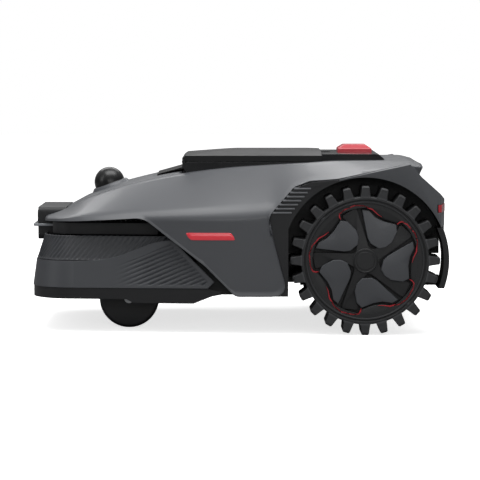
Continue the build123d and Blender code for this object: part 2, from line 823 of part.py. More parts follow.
with BuildPart() as chassis_base:
    with BuildSketch(Plane.XY.offset(pan_bottom)):
        add(nose_plan(pan_inset, pan_mid_front + wall))
    extrude(amount=pan_front_top - pan_bottom)
    with BuildSketch(Plane.XY.offset(pan_bottom)):
        with Locations(((pan_mid_front + pan_rear) / 2, 0)):
            Rectangle(pan_rear - pan_mid_front, 2 * (bumper_rear_y - pan_mid_inset))
        with Locations((pan_rear / 2 + wall, 0)):
            Rectangle(pan_rear - 2 * wall, 2 * tray_y)
        with Locations((deck_x, 0)):
            Circle(deck_well + wall)
    extrude(amount=pan_mid_top - pan_bottom)
    add(tray_hollow.part, mode=Mode.SUBTRACT)
    with BuildSketch(Plane.XY.offset(pan_bottom)):
        with Locations((deck_x, 0)):
            Circle(deck_well)
    extrude(amount=reach, mode=Mode.SUBTRACT)
    # roofed wells that the casters swing in, each with the bearing boss of a stem
    with BuildSketch(Plane.XY.offset(pan_bottom)):
        with Locations(*well_places):
            Circle(well_radius)
    extrude(amount=pan_front_top - wall - pan_bottom, mode=Mode.SUBTRACT)
    with BuildSketch(Plane.XY.offset(pan_front_top - wall)):
        with Locations(*well_places):
            Circle(caster_stem_radius + 5)
    extrude(amount=28)
    with BuildSketch(Plane.XY.offset(pan_bottom)):
        with Locations(*well_places):
            Circle(caster_stem_radius + running_gap)
    extrude(amount=reach, mode=Mode.SUBTRACT)
    # guides for the bumper's slide pins
    with BuildSketch(Plane.YZ.offset(bumper_front + pan_inset)):
        with Locations((-pin_y, pin_z), (pin_y, pin_z)):
            Circle(pin_radius + 4)
    extrude(amount=22)
    with BuildSketch(Plane.YZ.offset(bumper_front + pan_inset)):
        with Locations((-pin_y, pin_z), (pin_y, pin_z)):
            Circle(pin_radius + running_gap)
    extrude(amount=22, mode=Mode.SUBTRACT)
    # motor bay between the wheels, joined to the tray by a lower and an upper neck
    with BuildSketch(Plane.XY.offset(motor_bay_bottom)):
        with Locations((bay_centre, 0)):
            Rectangle(bay_length, 2 * bay_half_width)
    extrude(amount=motor_bay_top - motor_bay_bottom)
    with BuildSketch(Plane.XY.offset(motor_bay_bottom + wall)):
        with Locations((bay_centre, 0)):
            Rectangle(bay_length - 2 * wall, 2 * (bay_half_width - wall))
    extrude(amount=reach, mode=Mode.SUBTRACT)
    for neck_bottom in (motor_bay_bottom + 4, pan_mid_top - neck_height):
        with BuildSketch(Plane.XY.offset(neck_bottom)):
            with Locations(((pan_rear + motor_bay_front) / 2, 0)):
                Rectangle(motor_bay_front - pan_rear + wall, 2 * bay_half_width)
        extrude(amount=neck_height)
    with BuildSketch(Plane.XY.offset(motor_bay_top - 12)):
        for beam_x in (133, 233):
            with Locations((beam_x, 0)):
                Rectangle(8, 2 * bay_half_width)
    extrude(amount=12)
    with BuildSketch(Plane.XY.offset(motor_bay_top)):
        with Locations(*board_places):
            Circle(3.5)
    extrude(amount=board_z - motor_bay_top)
    # battery opening in the floor, screw holes of its cover and motor openings in the walls
    with BuildSketch(Plane.XY.offset(motor_bay_bottom)):
        with Locations((cover_x, 0)):
            Rectangle(battery_length, 2 * battery_half_width)
        with Locations(*screw_places):
            Circle(screw_radius)
    extrude(amount=wall, mode=Mode.SUBTRACT)
    with BuildSketch(Plane.XZ):
        with Locations((wheel_x, wheel_z)):
            Circle(motor_nose_radius)
    extrude(amount=reach, both=True, mode=Mode.SUBTRACT)

with BuildPart() as gearmotor_left:
    with BuildSketch(Plane.XZ.offset(motor_inner)):
        with Locations((wheel_x, wheel_z)):
            Circle(motor_radius)
    extrude(amount=bay_half_width - wall - motor_inner)
    with BuildSketch(Plane.XZ.offset(bay_half_width - wall)):
        with Locations((wheel_x, wheel_z)):
            Circle(motor_nose_radius)
    extrude(amount=wall + 5)
    with BuildSketch(Plane.XZ.offset(bay_half_width + 5)):
        with Locations((wheel_x, wheel_z)):
            Circle(axle_radius + running_gap)
    extrude(amount=-32, mode=Mode.SUBTRACT)

with BuildPart() as battery_pack:
    with BuildSketch(Plane.XY.offset(motor_bay_bottom)):
        with Locations((cover_x, 0)):
            RectangleRounded(battery_length - 2, 2 * battery_half_width - 2, 4)
    extrude(amount=62)

with BuildPart() as battery_cover:
    with BuildSketch(Plane.XY.offset(motor_bay_bottom)):
        with Locations((cover_x, 0)):
            Rectangle(battery_length + 2 * cover_lap, 2 * (battery_half_width + cover_lap))
        with Locations(*screw_places):
            Circle(screw_radius, mode=Mode.SUBTRACT)
    extrude(amount=-cover_thickness)

with BuildPart() as cover_screws:
    with BuildSketch(Plane.XY.offset(motor_bay_bottom + wall)):
        with Locations(*screw_places):
            Circle(screw_radius)
    extrude(amount=-wall - cover_thickness)
    with BuildSketch(Plane.XY.offset(motor_bay_bottom - cover_thickness)):
        with Locations(*screw_places):
            Circle(screw_head)
    extrude(amount=-1.6)

with BuildPart() as main_board:
    with BuildSketch(Plane.XY.offset(board_z)):
        with Locations((183, 0)):
            Rectangle(126, 110)
    extrude(amount=1.6)
    with BuildSketch(Plane.XY.offset(board_z + 1.6)):
        with Locations((160, -20), (200, 25), (225, -30)):
            Rectangle(22, 18)
    extrude(amount=6)

# ---------------------------------------------------------------- cutting deck
post_bottom = carriage_bottom + carriage_plate + deck_travel + 1.0
boss_top = bridge_bottom - deck_travel - 2.0

with BuildPart() as deck_bridge:
    with BuildSketch(Plane.XY.offset(bridge_bottom)):
        with Locations((deck_x, 0)):
            Circle(deck_well + wall)
    extrude(amount=bridge_plate)
    with BuildSketch(Plane.XY.offset(pan_mid_top)):
        with Locations((deck_x, 0)):
            Circle(deck_well + wall)
            Circle(deck_well, mode=Mode.SUBTRACT)
    extrude(amount=bridge_bottom - pan_mid_top)
    with BuildSketch(Plane.XY.offset(post_bottom)):
        with Locations((deck_x, 0)):
            with PolarLocations(guide_circle, 3, 60):
                Circle(guide_post_radius)
    extrude(amount=bridge_bottom - post_bottom)

with BuildPart() as deck_carriage:
    with BuildSketch(Plane.XY.offset(carriage_bottom)):
        with Locations((deck_x, 0)):
            Circle(deck_well - 2)
    extrude(amount=carriage_plate)
    with BuildSketch(Plane.XY.offset(carriage_bottom - 12)):
        with Locations((deck_x, 0)):
            Circle(deck_well - 2)
            Circle(deck_well - 2 - wall, mode=Mode.SUBTRACT)
    extrude(amount=12)
    with BuildSketch(Plane.XY.offset(carriage_bottom)):
        with Locations((deck_x, 0)):
            with PolarLocations(guide_circle, 3, 60):
                Circle(guide_post_radius + 5)
    extrude(amount=boss_top - carriage_bottom)
    with BuildSketch(Plane.XY.offset(carriage_bottom + carriage_plate)):
        with Locations((deck_x, 0)):
            with PolarLocations(guide_circle, 3, 60):
                Circle(guide_post_radius + running_gap)
    extrude(amount=reach, mode=Mode.SUBTRACT)
    with BuildSketch(Plane.XY.offset(carriage_bottom)):
        with Locations((deck_x, 0)):
            Circle(spindle_radius + 2)
    extrude(amount=carriage_plate, mode=Mode.SUBTRACT)

motor_bottom = carriage_bottom + carriage_plate
with BuildPart() as blade_motor:
    with BuildSketch(Plane.XY.offset(motor_bottom)):
        with Locations((deck_x, 0)):
            Circle(motor_can_radius)
    extrude(amount=motor_can_height)
    with BuildSketch(Plane.XY.offset(motor_bottom)):
        with Locations((deck_x, 0)):
            Circle(spindle_radius + running_gap)
    extrude(amount=20, mode=Mode.SUBTRACT)

blade_top = disc_bottom - blade_gap
with BuildPart() as blade_disc:
    with BuildSketch(Plane.XY.offset(disc_bottom)):
        with Locations((deck_x, 0)):
            Circle(disc_radius)
            with PolarLocations(45, 6):
                Circle(9, mode=Mode.SUBTRACT)
    extrude(amount=disc_thickness)
    with BuildSketch(Plane.XY.offset(disc_bottom)):
        with Locations((deck_x, 0)):
            Circle(14)
    extrude(amount=8)
    with BuildSketch(Plane.XY.offset(disc_bottom)):
        with Locations((deck_x, 0)):
            Circle(spindle_radius)
    extrude(amount=motor_bottom + 18 - disc_bottom)
    with BuildSketch(Plane.XY.offset(disc_bottom)):
        with Locations((deck_x, 0)):
            Circle(30)
    extrude(amount=-6, taper=25)
    with BuildSketch(Plane.XY.offset(disc_bottom)):
        with Locations((deck_x, 0)):
            with PolarLocations(blade_pivot_radius, blade_count):
                Circle(blade_pin_radius)
    extrude(amount=-blade_thickness - 2 * blade_gap)
    with BuildSketch(Plane.XY.offset(disc_bottom - blade_thickness - 2 * blade_gap)):
        with Locations((deck_x, 0)):
            with PolarLocations(blade_pivot_radius, blade_count):
                Circle(2 * blade_pin_radius)
    extrude(amount=-1.4)

blades = []
for index in range(blade_count):
    with BuildPart() as blade:
        with BuildSketch(Plane.XY.offset(blade_top)):
            with Locations(Location((deck_x, 0), index * 360 / blade_count)):
                with Locations((blade_pivot_radius + 6, 0)):
                    Rectangle(2 * (blade_circle - blade_pivot_radius - 6), blade_width)
                with Locations((blade_pivot_radius, 0)):
                    Circle(blade_pin_radius + running_gap, mode=Mode.SUBTRACT)
        extrude(amount=-blade_thickness)
    blades.append(blade)

# ---------------------------------------------------------------- drive wheel, left
wheel_centre = (wheel_x, wheel_z)
hub_radius = 18.0
hub_cap_radius = 18.4
cover_radius = rim_radius - 6.0
cover_face = wheel_outer - 2.0


def on_cover(points):
    """Points drawn on a cover of 78 mm radius, for the cover's own radius."""
    return [(x * cover_radius / 78, z * cover_radius / 78) for x, z in points]


petal = on_cover([(-7.3, 74.8), (31.9, 56.5), (48.3, 51.1), (42.9, 31.0), (29.2, 20.1),
                  (19.1, 17.3), (6.4, 25.5), (2.7, 34.6)])
petal_slot = on_cover([(0.4, 34), (1.9, 36), (-8.3, 73.5), (-11.5, 71)])
accent = on_cover([(-38.3, 62), (-37.4, 69.3), (-31.9, 72.9), (-17.3, 80.2), (-6.4, 80.2),
                   (10.9, 72.9)])
accent_width = 2.2

with BuildPart() as tyre_left:
    with BuildSketch(Plane.XZ.offset(track_inner)):
        with Locations(wheel_centre):
            Circle(tread_radius)
            with PolarLocations(0, lug_count):
                Polygon(
                    (tread_radius - 1, -lug_root / 2),
                    (wheel_radius, -lug_tip / 2),
                    (wheel_radius, lug_tip / 2),
                    (tread_radius - 1, lug_root / 2),
                    align=None,
                )
            Circle(rim_radius, mode=Mode.SUBTRACT)
    extrude(amount=wheel_width)

with BuildPart() as rim_left:
    with BuildSketch(Plane.XZ.offset(track_inner + 2)):
        with Locations(wheel_centre):
            Circle(rim_radius)
            Circle(cover_radius, mode=Mode.SUBTRACT)
    extrude(amount=wheel_width - 4)
    with BuildSketch(Plane.XZ.offset(wheel_outer - 20)):
        with Locations(wheel_centre):
            Circle(cover_radius)
            with PolarLocations(52, petal_count):
                Circle(13, mode=Mode.SUBTRACT)
    extrude(amount=4)
    with BuildSketch(Plane.XZ.offset(track_inner + 5)):
        with Locations(wheel_centre):
            Circle(hub_radius)
    extrude(amount=cover_face - 4 - track_inner - 5)
    with BuildSketch(Plane.XZ.offset(track_inner + 5)):
        with Locations(wheel_centre):
            Circle(axle_radius)
    extrude(amount=-35)

with BuildPart() as wheel_cover_left:
    with BuildSketch(Plane.XZ.offset(cover_face - 4)):
        with Locations(wheel_centre):
            Circle(cover_radius)
            with PolarLocations(0, petal_count):
                Polygon(*petal_slot, align=None, mode=Mode.SUBTRACT)
    extrude(amount=4)
    with BuildSketch(Plane.XZ.offset(cover_face)):
        with Locations(wheel_centre):
            with PolarLocations(0, petal_count):
                Polygon(*petal, align=None)
    extrude(amount=1.8)

with BuildSketch() as accent_shape:
    with BuildLine():
        Polyline(*accent)
    trace(line_width=accent_width)

with BuildPart() as wheel_accents_left:
    with BuildSketch(Plane.XZ.offset(cover_face)):
        with Locations(wheel_centre):
            with PolarLocations(0, petal_count):
                add(accent_shape.sketch)
    extrude(amount=1.0)

with BuildPart() as hub_cap_left:
    with BuildSketch(Plane.XZ.offset(cover_face)):
        with Locations(wheel_centre):
            Circle(hub_cap_radius - 1)
    extrude(amount=2.0)

# ---------------------------------------------------------------- caster, left
crown_top = pan_front_top - wall - 1.0
arm_inner = caster_width / 2 + caster_side_gap
with BuildPart() as caster_fork_left:
    with BuildSketch(Plane.XY.offset(crown_bottom)):
        with Locations((caster_pivot_x, -caster_pivot_y)):
            Circle(arm_inner + caster_arm + 4)
    extrude(amount=crown_top - crown_bottom)
    with BuildSketch(Plane.XY.offset(crown_top)):
        with Locations((caster_pivot_x, -caster_pivot_y)):
            Circle(caster_stem_radius)
    extrude(amount=30)
    for side in (-1, 1):
        with BuildSketch(Plane.XZ.offset(caster_pivot_y - side * arm_inner)):
            with BuildLine():
                Polyline(
                    (caster_pivot_x - 10, crown_top),
                    (caster_pivot_x + 10, crown_top),
                    (caster_x + 8, caster_z),
                    (caster_x, caster_z - 8),
                    (caster_x - 8, caster_z),
                    close=True,
                )
            make_face()
            with Locations((caster_x, caster_z)):
                Circle(caster_axle_radius, mode=Mode.SUBTRACT)
        extrude(amount=-side * caster_arm)

with BuildPart() as caster_wheel_left:
    with BuildSketch(Plane.XZ.offset(caster_pivot_y - caster_width / 2)):
        with Locations((caster_x, caster_z)):
            Circle(caster_radius)
            Circle(caster_axle_radius + running_gap, mode=Mode.SUBTRACT)
    extrude(amount=caster_width)
    fillet(caster_wheel_left.faces().sort_by(Axis.Y)[0].edges().sort_by(SortBy.LENGTH)[-1], 5)
    fillet(caster_wheel_left.faces().sort_by(Axis.Y)[-1].edges().sort_by(SortBy.LENGTH)[-1], 5)

with BuildPart() as caster_axle_left:
    with BuildSketch(Plane.XZ.offset(caster_pivot_y - arm_inner - caster_arm)):
        with Locations((caster_x, caster_z)):
            Circle(caster_axle_radius)
    extrude(amount=2 * (arm_inner + caster_arm))
    for side in (-1, 1):
        with BuildSketch(Plane.XZ.offset(caster_pivot_y - side * (arm_inner + caster_arm))):
            with Locations((caster_x, caster_z)):
                Circle(caster_axle_radius + 3)
        extrude(amount=-side * 2)

# ---------------------------------------------------------------- output
pieces = {
    "chassis_base": chassis_base,
    "upper_shell": upper_shell,
    "side_lights": side_lights,
    "vent_panel_left": vent_panel_left,
    "vent_panel_right": right_copy(vent_panel_left),
    "fender_left": fender_left,
    "fender_right": right_copy(fender_left),
    "rear_cover": rear_cover,
    "rear_hatch": rear_hatch,
    "tail_lights": tail_lights,
    "rear_guard_left": rear_guard_left,
    "rear_guard_right": right_copy(rear_guard_left),
    "charge_contacts": charge_contacts,
    "camera_housing": camera_housing,
    "camera_glass": camera_glass,
    "camera_lenses": camera_lenses,
    "camera_visor": camera_visor,
    "sensor_band": sensor_band,
    "lidar_base": lidar_base,
    "lidar_core": lidar_core,
    "lidar_dome": lidar_dome,
    "top_pod": top_pod,
    "control_panel": control_panel,
    "control_lid": control_lid,
    "stop_button": stop_button,
    "front_bumper": front_bumper,
    "ribbed_skin": ribbed_skin,
    "base_trim": base_trim,
    "battery_pack": battery_pack,
    "battery_cover": battery_cover,
    "cover_screws": cover_screws,
    "main_board": main_board,
    "deck_bridge": deck_bridge,
    "deck_carriage": deck_carriage,
    "blade_motor": blade_motor,
    "blade_disc": blade_disc,
}
for side, copy in (("left", lambda piece: piece), ("right", right_copy)):
    pieces["gearmotor_" + side] = copy(gearmotor_left)
    pieces["tyre_" + side] = copy(tyre_left)
    pieces["rim_" + side] = copy(rim_left)
    pieces["wheel_cover_" + side] = copy(wheel_cover_left)
    pieces["wheel_accents_" + side] = copy(wheel_accents_left)
    pieces["hub_cap_" + side] = copy(hub_cap_left)
    pieces["caster_fork_" + side] = copy(caster_fork_left)
    pieces["caster_wheel_" + side] = copy(caster_wheel_left)
    pieces["caster_axle_" + side] = copy(caster_axle_left)
for index, blade in enumerate(blades):
    pieces[f"blade_{index + 1}"] = blade
for name, key in zip(("key_power", "key_home", "key_start"), keys):
    pieces[name] = key

os.makedirs("parts", exist_ok=True)
for name, piece in pieces.items():
    piece.part.label = name
    export_step(piece.part, f"parts/{name}.step")
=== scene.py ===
import json
import math

import bmesh
import bpy
from mathutils import Matrix, Vector


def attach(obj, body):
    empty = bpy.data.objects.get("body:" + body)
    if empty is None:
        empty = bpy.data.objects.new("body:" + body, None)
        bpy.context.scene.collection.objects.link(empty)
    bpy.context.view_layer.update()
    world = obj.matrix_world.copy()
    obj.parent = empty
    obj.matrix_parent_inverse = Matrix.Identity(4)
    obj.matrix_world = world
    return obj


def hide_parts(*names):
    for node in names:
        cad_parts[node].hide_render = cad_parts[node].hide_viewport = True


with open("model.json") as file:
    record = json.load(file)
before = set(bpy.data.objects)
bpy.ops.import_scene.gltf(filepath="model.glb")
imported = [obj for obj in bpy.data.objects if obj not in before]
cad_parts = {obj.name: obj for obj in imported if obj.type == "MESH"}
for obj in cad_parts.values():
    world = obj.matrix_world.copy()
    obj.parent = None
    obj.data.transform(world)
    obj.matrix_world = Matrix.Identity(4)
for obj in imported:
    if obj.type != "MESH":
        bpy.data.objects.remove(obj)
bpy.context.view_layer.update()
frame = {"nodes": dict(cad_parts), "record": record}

MM = 0.001
SIDES = (("left", -1), ("right", 1))
body_of = {
    node: body
    for body, nodes in frame["record"]["behaviour"]["bodies"].items()
    for node in nodes
}


# ------------------------------------------------------------------ small helpers
def linear(code):
    """An sRGB hex colour as linear RGBA."""
    parts = [int(code[i : i + 2], 16) / 255 for i in (1, 3, 5)]
    return [c / 12.92 if c <= 0.04045 else ((c + 0.055) / 1.055) ** 2.4 for c in parts] + [1.0]


def add_node(tree, kind, settings=None, **links):
    """A node with its settings; a link is a socket, and anything else is a value.
    Input names are given with underscores, or as in_0, in_1 by their place."""
    node = tree.nodes.new(kind)
    for key, value in (settings or {}).items():
        setattr(node, key, value)
    for key, value in links.items():
        if key.startswith("in_"):
            socket = node.inputs[int(key[3:])]
        else:
            socket = node.inputs[key.replace("_", " ")]
        if isinstance(value, bpy.types.NodeSocket):
            tree.links.new(value, socket)
        else:
            socket.default_value = value
    return node


# ------------------------------------------------------------------ materials
CLOUD_MM = 90  # spacing of the slow changes in tone and gloss


def moulded(name, colour, roughness, grain_mm, grain_depth, mottling=0.06, coat=0.0,
            specular=0.5, edge_highlight=0.0, glow=None):
    """Moulded plastic or rubber: a fine eroded grain from the mould, a slow mottling of the
    gloss, and a little dirt or polish that changes the colour by a few percent. The edge
    highlight is a painted highlight that lightens the sharpest edges, and glow is a colour and its
    strength."""
    material = bpy.data.materials.new(name)
    material.use_nodes = True
    tree = material.node_tree
    shader = tree.nodes["Principled BSDF"]
    place = add_node(tree, "ShaderNodeTexCoord").outputs["Object"]
    grain = add_node(tree, "ShaderNodeTexNoise", Vector=place, Scale=1 / (grain_mm * MM),
                     Detail=3.0, Roughness=0.6)
    cloud = add_node(tree, "ShaderNodeTexNoise", Vector=place, Scale=1 / (CLOUD_MM * MM),
                     Detail=4.0, Roughness=0.55)
    tone = add_node(tree, "ShaderNodeMapRange", Value=cloud.outputs["Fac"], From_Min=0.3,
                    From_Max=0.7, To_Min=1 - mottling, To_Max=1 + mottling)
    base = add_node(tree, "ShaderNodeHueSaturation", Color=linear(colour),
                    Value=tone.outputs["Result"])
    tree.links.new(base.outputs["Color"], shader.inputs["Base Color"])
    # Painted highlight: the sharpest edges are mixed towards a light grey.
    if edge_highlight:
        edge = add_node(tree, "ShaderNodeNewGeometry").outputs["Pointiness"]
        edge_highlight_share = add_node(tree, "ShaderNodeMapRange", Value=edge, From_Min=0.52, From_Max=0.6,
                       To_Min=0.0, To_Max=edge_highlight)
        highlit_edge_colour = add_node(tree, "ShaderNodeMix", {"data_type": "RGBA"}, Factor=edge_highlight_share.outputs["Result"],
                        in_6=base.outputs["Color"], in_7=linear("#8c8e92"))
        tree.links.new(highlit_edge_colour.outputs[2], shader.inputs["Base Color"])
    gloss = add_node(tree, "ShaderNodeMapRange", Value=cloud.outputs["Fac"], From_Min=0.3,
                     From_Max=0.7, To_Min=roughness - 0.05, To_Max=roughness + 0.06)
    tree.links.new(gloss.outputs["Result"], shader.inputs["Roughness"])
    if grain_depth:
        bump = add_node(tree, "ShaderNodeBump", Height=grain.outputs["Fac"], Strength=grain_depth,
                        Distance=0.15 * MM)
        tree.links.new(bump.outputs["Normal"], shader.inputs["Normal"])
    shader.inputs["Specular IOR Level"].default_value = specular
    shader.inputs["Coat Weight"].default_value = coat
    shader.inputs["Coat Roughness"].default_value = 0.12
    if glow:
        shader.inputs["Emission Color"].default_value = linear(glow[0])
        shader.inputs["Emission Strength"].default_value = glow[1]
    return material


# Painted ABS: a satin metallic graphite lacquer over smooth mouldings. Soft broad highlights.
graphite = moulded("satin_graphite_lacquer", "#4e5054", 0.42, 0.5, 0.03, 0.03, 0.12)
# Eroded-texture ABS of the bumper: the same tone, a little rougher.
graphite_textured = moulded("textured_graphite_abs", "#46484c", 0.45, 0.6, 0.10, 0.04)
# Glass-filled nylon trims: near black, fine grain, dull sheen.
black_trim = moulded("black_nylon_trim", "#131417", 0.5, 0.7, 0.15, 0.08)
# Polished black polycarbonate: mirror-like with a clear coat.
gloss_black = moulded("polished_black_polycarbonate", "#0c0d0f", 0.12, 2.0, 0.0, 0.02, 0.6)
# Satin black ABS of the lid.
lid_black = moulded("satin_black_abs", "#090a0c", 0.5, 0.6, 0.04, 0.04, 0.0, 0.35)
# Gloss black ABS of the pod: clear reflections with a slight orange peel.
pod_black = moulded("gloss_black_abs", "#101113", 0.2, 2.0, 0.02, 0.03, 0.3)
# Piano-black dome over the lidar: deep and glossy, its reflections a little soft.
dome_black = moulded("polished_black_dome", "#060607", 0.3, 2.0, 0.0, 0.02, 0.0)
# Smoked polycarbonate of the camera visor, coloured light grey as a painted highlight on its thin
# edge.
visor_highlight_grey = moulded("smoked_polycarbonate_painted_highlight", "#8d9196", 0.15, 2.0, 0.0, 0.02, 0.6)
# Soft-touch elastomer over the bumper's frame: charcoal, with a silky highlight on each rib.
black_rubber_skin = moulded("soft_touch_elastomer", "#34363a", 0.4, 0.6, 0.08, 0.04)
# Satin nylon louvres, coloured a shade lighter than the trim as a painted highlight on each edge.
slat_highlight_nylon = moulded("satin_nylon_louvre", "#4a4c50", 0.38, 0.6, 0.05, 0.04)
# Cast polyurethane cleats: dark and dry, with a coarse mould grain, and a painted highlight that
# lightens their edges.
tyre_rubber = moulded("moulded_tyre_rubber", "#17181a", 0.62, 0.9, 0.35, 0.10, edge_highlight=0.2)
# Wheel covers: textured ABS, slightly lighter than the tyre. The petals get a lighter copy of it,
# painted light for their faces that turn up to the light.
petal_lit_plastic = moulded("textured_charcoal_abs_painted_light", "#484a4e", 0.4, 0.6, 0.12, 0.05)
wheel_dark = moulded("fine_black_abs", "#18191b", 0.5, 0.6, 0.10, 0.05)
# Recesses of the wheel cover: the same moulding, painted dead black as painted shade.
fine_black = moulded("painted_shade_black_abs", "#0b0b0c", 0.6, 0.6, 0.05, 0.05)
# Caster wheels: smooth nylon that shines a little.
caster_nylon = moulded("smooth_black_nylon", "#1a1b1e", 0.38, 0.8, 0.06, 0.05)
# Chassis pan and deck: recycled polypropylene with a coarse, dull grain.
chassis_plastic = moulded("recycled_black_polypropylene", "#0e0f10", 0.55, 0.8, 0.2, 0.08)
# Red acrylic lenses over diffusers, and the side light bar, which is lit from behind.
red_lens = moulded("red_acrylic_lens", "#b8323c", 0.16, 3.0, 0.0, 0.05, 0.5)
glowing_lens = moulded("lit_red_acrylic", "#c23540", 0.2, 3.0, 0.0, 0.05, 0.4,
                       glow=("#ff3a48", 0.22))
# Red details: the moulded stop button and the printed lines of the wheel.
red_button = moulded("satin_red_abs", "#c33642", 0.3, 0.6, 0.03, 0.03, 0.3)
red_line = moulded("red_printed_line", "#b3202c", 0.35, 0.6, 0.03, 0.03)
# Keys, battery case and circuit board.
rubber_key = moulded("silicone_rubber_key", "#55585c", 0.55, 0.5, 0.1, 0.03)
battery_case = moulded("battery_case_abs", "#232528", 0.5, 0.7, 0.12, 0.05)
circuit_board = moulded("solder_mask_board", "#164a2c", 0.3, 0.5, 0.05, 0.1)


def metal(name, colour, roughness, line_mm, stretch):
    """Turned or brushed metal: tiny parallel lines that break up its reflection."""
    material = bpy.data.materials.new(name)
    material.use_nodes = True
    tree = material.node_tree
    shader = tree.nodes["Principled BSDF"]
    shader.inputs["Base Color"].default_value = linear(colour)
    shader.inputs["Metallic"].default_value = 1.0
    place = add_node(tree, "ShaderNodeTexCoord").outputs["Object"]
    turned = add_node(tree, "ShaderNodeMapping", Vector=place, Scale=stretch)
    lines = add_node(tree, "ShaderNodeTexNoise", Vector=turned.outputs["Vector"],
                     Scale=1 / (line_mm * MM), Detail=2.0)
    gloss = add_node(tree, "ShaderNodeMapRange", Value=lines.outputs["Fac"],
                     To_Min=roughness - 0.08, To_Max=roughness + 0.1)
    tree.links.new(gloss.outputs["Result"], shader.inputs["Roughness"])
    bump = add_node(tree, "ShaderNodeBump", Height=lines.outputs["Fac"], Strength=0.15,
                    Distance=0.05 * MM)
    tree.links.new(bump.outputs["Normal"], shader.inputs["Normal"])
    return material


# Ground blades and screws, die-cast motor housings, plated charging contacts.
steel = metal("ground_stainless_steel", "#a9abad", 0.28, 0.5, (1, 12, 1))
motor_alloy = metal("die_cast_aluminium", "#7c7e82", 0.42, 0.6, (1, 1, 1))
brass = metal("plated_contact_brass", "#c9a65a", 0.3, 0.4, (1, 8, 1))


def coat_mesh(mesh, material):
    """Gives every face of a mesh one material."""
    mesh.materials.clear()
    mesh.materials.append(material)
    for face in mesh.polygons:
        face.material_index = 0


def paint(material, *names):
    """Gives CAD nodes a material."""
    for name in names:
        coat_mesh(frame["nodes"][name].data, material)


# ------------------------------------------------------------------ camera, light and floor
def facing(place, target):
    """The turn that makes a camera or a light at a place look at its target."""
    return (target - place).to_track_quat("-Z", "Y").to_euler()


def set_the_stage():
    """Side view from the mower's left, slightly from above, under one large softbox."""
    scene = bpy.context.scene
    scene.view_settings.view_transform = "Standard"
    camera = bpy.data.objects.new("camera", bpy.data.cameras.new("camera"))
    camera.data.lens = 168
    camera.data.sensor_width = 36
    camera.data.clip_end = 50
    aim = Vector((0.0038, 0, 0.124))
    elevation = math.radians(4.5)
    distance = 3.5
    camera.location = aim + distance * Vector((0, -math.cos(elevation), math.sin(elevation)))
    camera.rotation_euler = facing(camera.location, aim)
    scene.collection.objects.link(camera)
    scene.camera = camera

    def softbox(name, place, target, size, power):
        light = bpy.data.objects.new(name, bpy.data.lights.new(name, "AREA"))
        light.data.shape = "RECTANGLE"
        light.data.size, light.data.size_y = size
        light.data.energy = power
        light.location = place
        light.rotation_euler = facing(Vector(place), Vector(target))
        scene.collection.objects.link(light)

    softbox("top_softbox", (0.1, -0.35, 2.3), (0, 0, 0.1), (2.4, 1.3), 44)
    softbox("rear_softbox", (-0.2, 1.8, 1.6), (0, 0, 0.2), (2.2, 0.6), 14)
    softbox("front_strip", (-1.9, -0.9, 1.0), (-0.1, 0, 0.14), (0.5, 1.4), 5)
    softbox("side_fill", (0.5, -3.2, 0.9), (0.05, 0, 0.12), (2.4, 0.7), 13)

    # The sky is dark at the horizon and bright overhead, as in a studio with black walls, and
    # plain white where the camera sees it.
    world = bpy.data.worlds.new("studio")
    scene.world = world
    world.use_nodes = True
    tree = world.node_tree
    tree.nodes.clear()
    height = add_node(tree, "ShaderNodeSeparateXYZ",
                      Vector=add_node(tree, "ShaderNodeTexCoord").outputs["Generated"]).outputs["Z"]
    shade = add_node(tree, "ShaderNodeMapRange", Value=height, From_Min=0.0, From_Max=0.9,
                     To_Min=0.09, To_Max=0.62)
    seen = add_node(tree, "ShaderNodeLightPath").outputs["Is Camera Ray"]
    level = add_node(tree, "ShaderNodeMix", Factor=seen, A=shade.outputs["Result"], B=1.0)
    sky = add_node(tree, "ShaderNodeBackground", Color=(1, 1, 1, 1),
                   Strength=level.outputs["Result"])
    add_node(tree, "ShaderNodeOutputWorld", Surface=sky.outputs["Background"])

    floor = bpy.data.objects.new("floor", bpy.data.meshes.new("floor"))
    half = 9.0
    corners = [(-half, -half, 0), (half, -half, 0), (half, half, 0), (-half, half, 0)]
    floor.data.from_pydata(corners, [], [(0, 1, 2, 3)])
    paper = bpy.data.materials.new("matt_white_paper")
    paper.use_nodes = True
    tree = paper.node_tree
    shader = tree.nodes["Principled BSDF"]
    shader.inputs["Roughness"].default_value = 0.9
    shader.inputs["Specular IOR Level"].default_value = 0.0
    shader.inputs["Emission Color"].default_value = (1, 1, 1, 1)
    seen = add_node(tree, "ShaderNodeLightPath").outputs["Is Camera Ray"]
    tone = add_node(tree, "ShaderNodeMix", {"data_type": "RGBA"}, Factor=seen,
                    in_6=linear("#8a8a8a"), in_7=linear("#f2f2f2"))
    tree.links.new(tone.outputs[2], shader.inputs["Base Color"])
    glow = add_node(tree, "ShaderNodeMapRange", Value=seen, To_Min=0.0, To_Max=0.72)
    tree.links.new(glow.outputs["Result"], shader.inputs["Emission Strength"])
    floor.data.materials.append(paper)
    scene.collection.objects.link(floor)


set_the_stage()


# ------------------------------------------------------------------ mesh helpers
def scaled(rows):
    """Rows of points in metres, out of millimetres."""
    return [[Vector(point) * MM for point in row] for row in rows]


def to_mesh(name, work):
    """The finished work as a new mesh."""
    mesh = bpy.data.meshes.new(name)
    work.to_mesh(mesh)
    work.free()
    return mesh


def closed_mesh(name, work, shift=(0, 0, 0)):
    """The work, drawn in millimetres, as a mesh in metres with its faces outwards."""
    bmesh.ops.recalc_face_normals(work, faces=work.faces)
    bmesh.ops.scale(work, vec=(MM, MM, MM), verts=work.verts)
    bmesh.ops.translate(work, vec=Vector(shift) * MM, verts=work.verts)
    return to_mesh(name, work)


def loft(work, sections, ring=False):
    """Quads between closed sections: round a ring, or along a bar with two end faces."""
    grid = [[work.verts.new(point) for point in section] for section in sections]
    width = len(grid[0])
    for low, high in zip(grid, grid[1:] + (grid[:1] if ring else [])):
        for c in range(width):
            d = (c + 1) % width
            work.faces.new((low[c], low[d], high[d], high[c]))
    if not ring:
        work.faces.new(grid[0])
        work.faces.new(grid[-1])


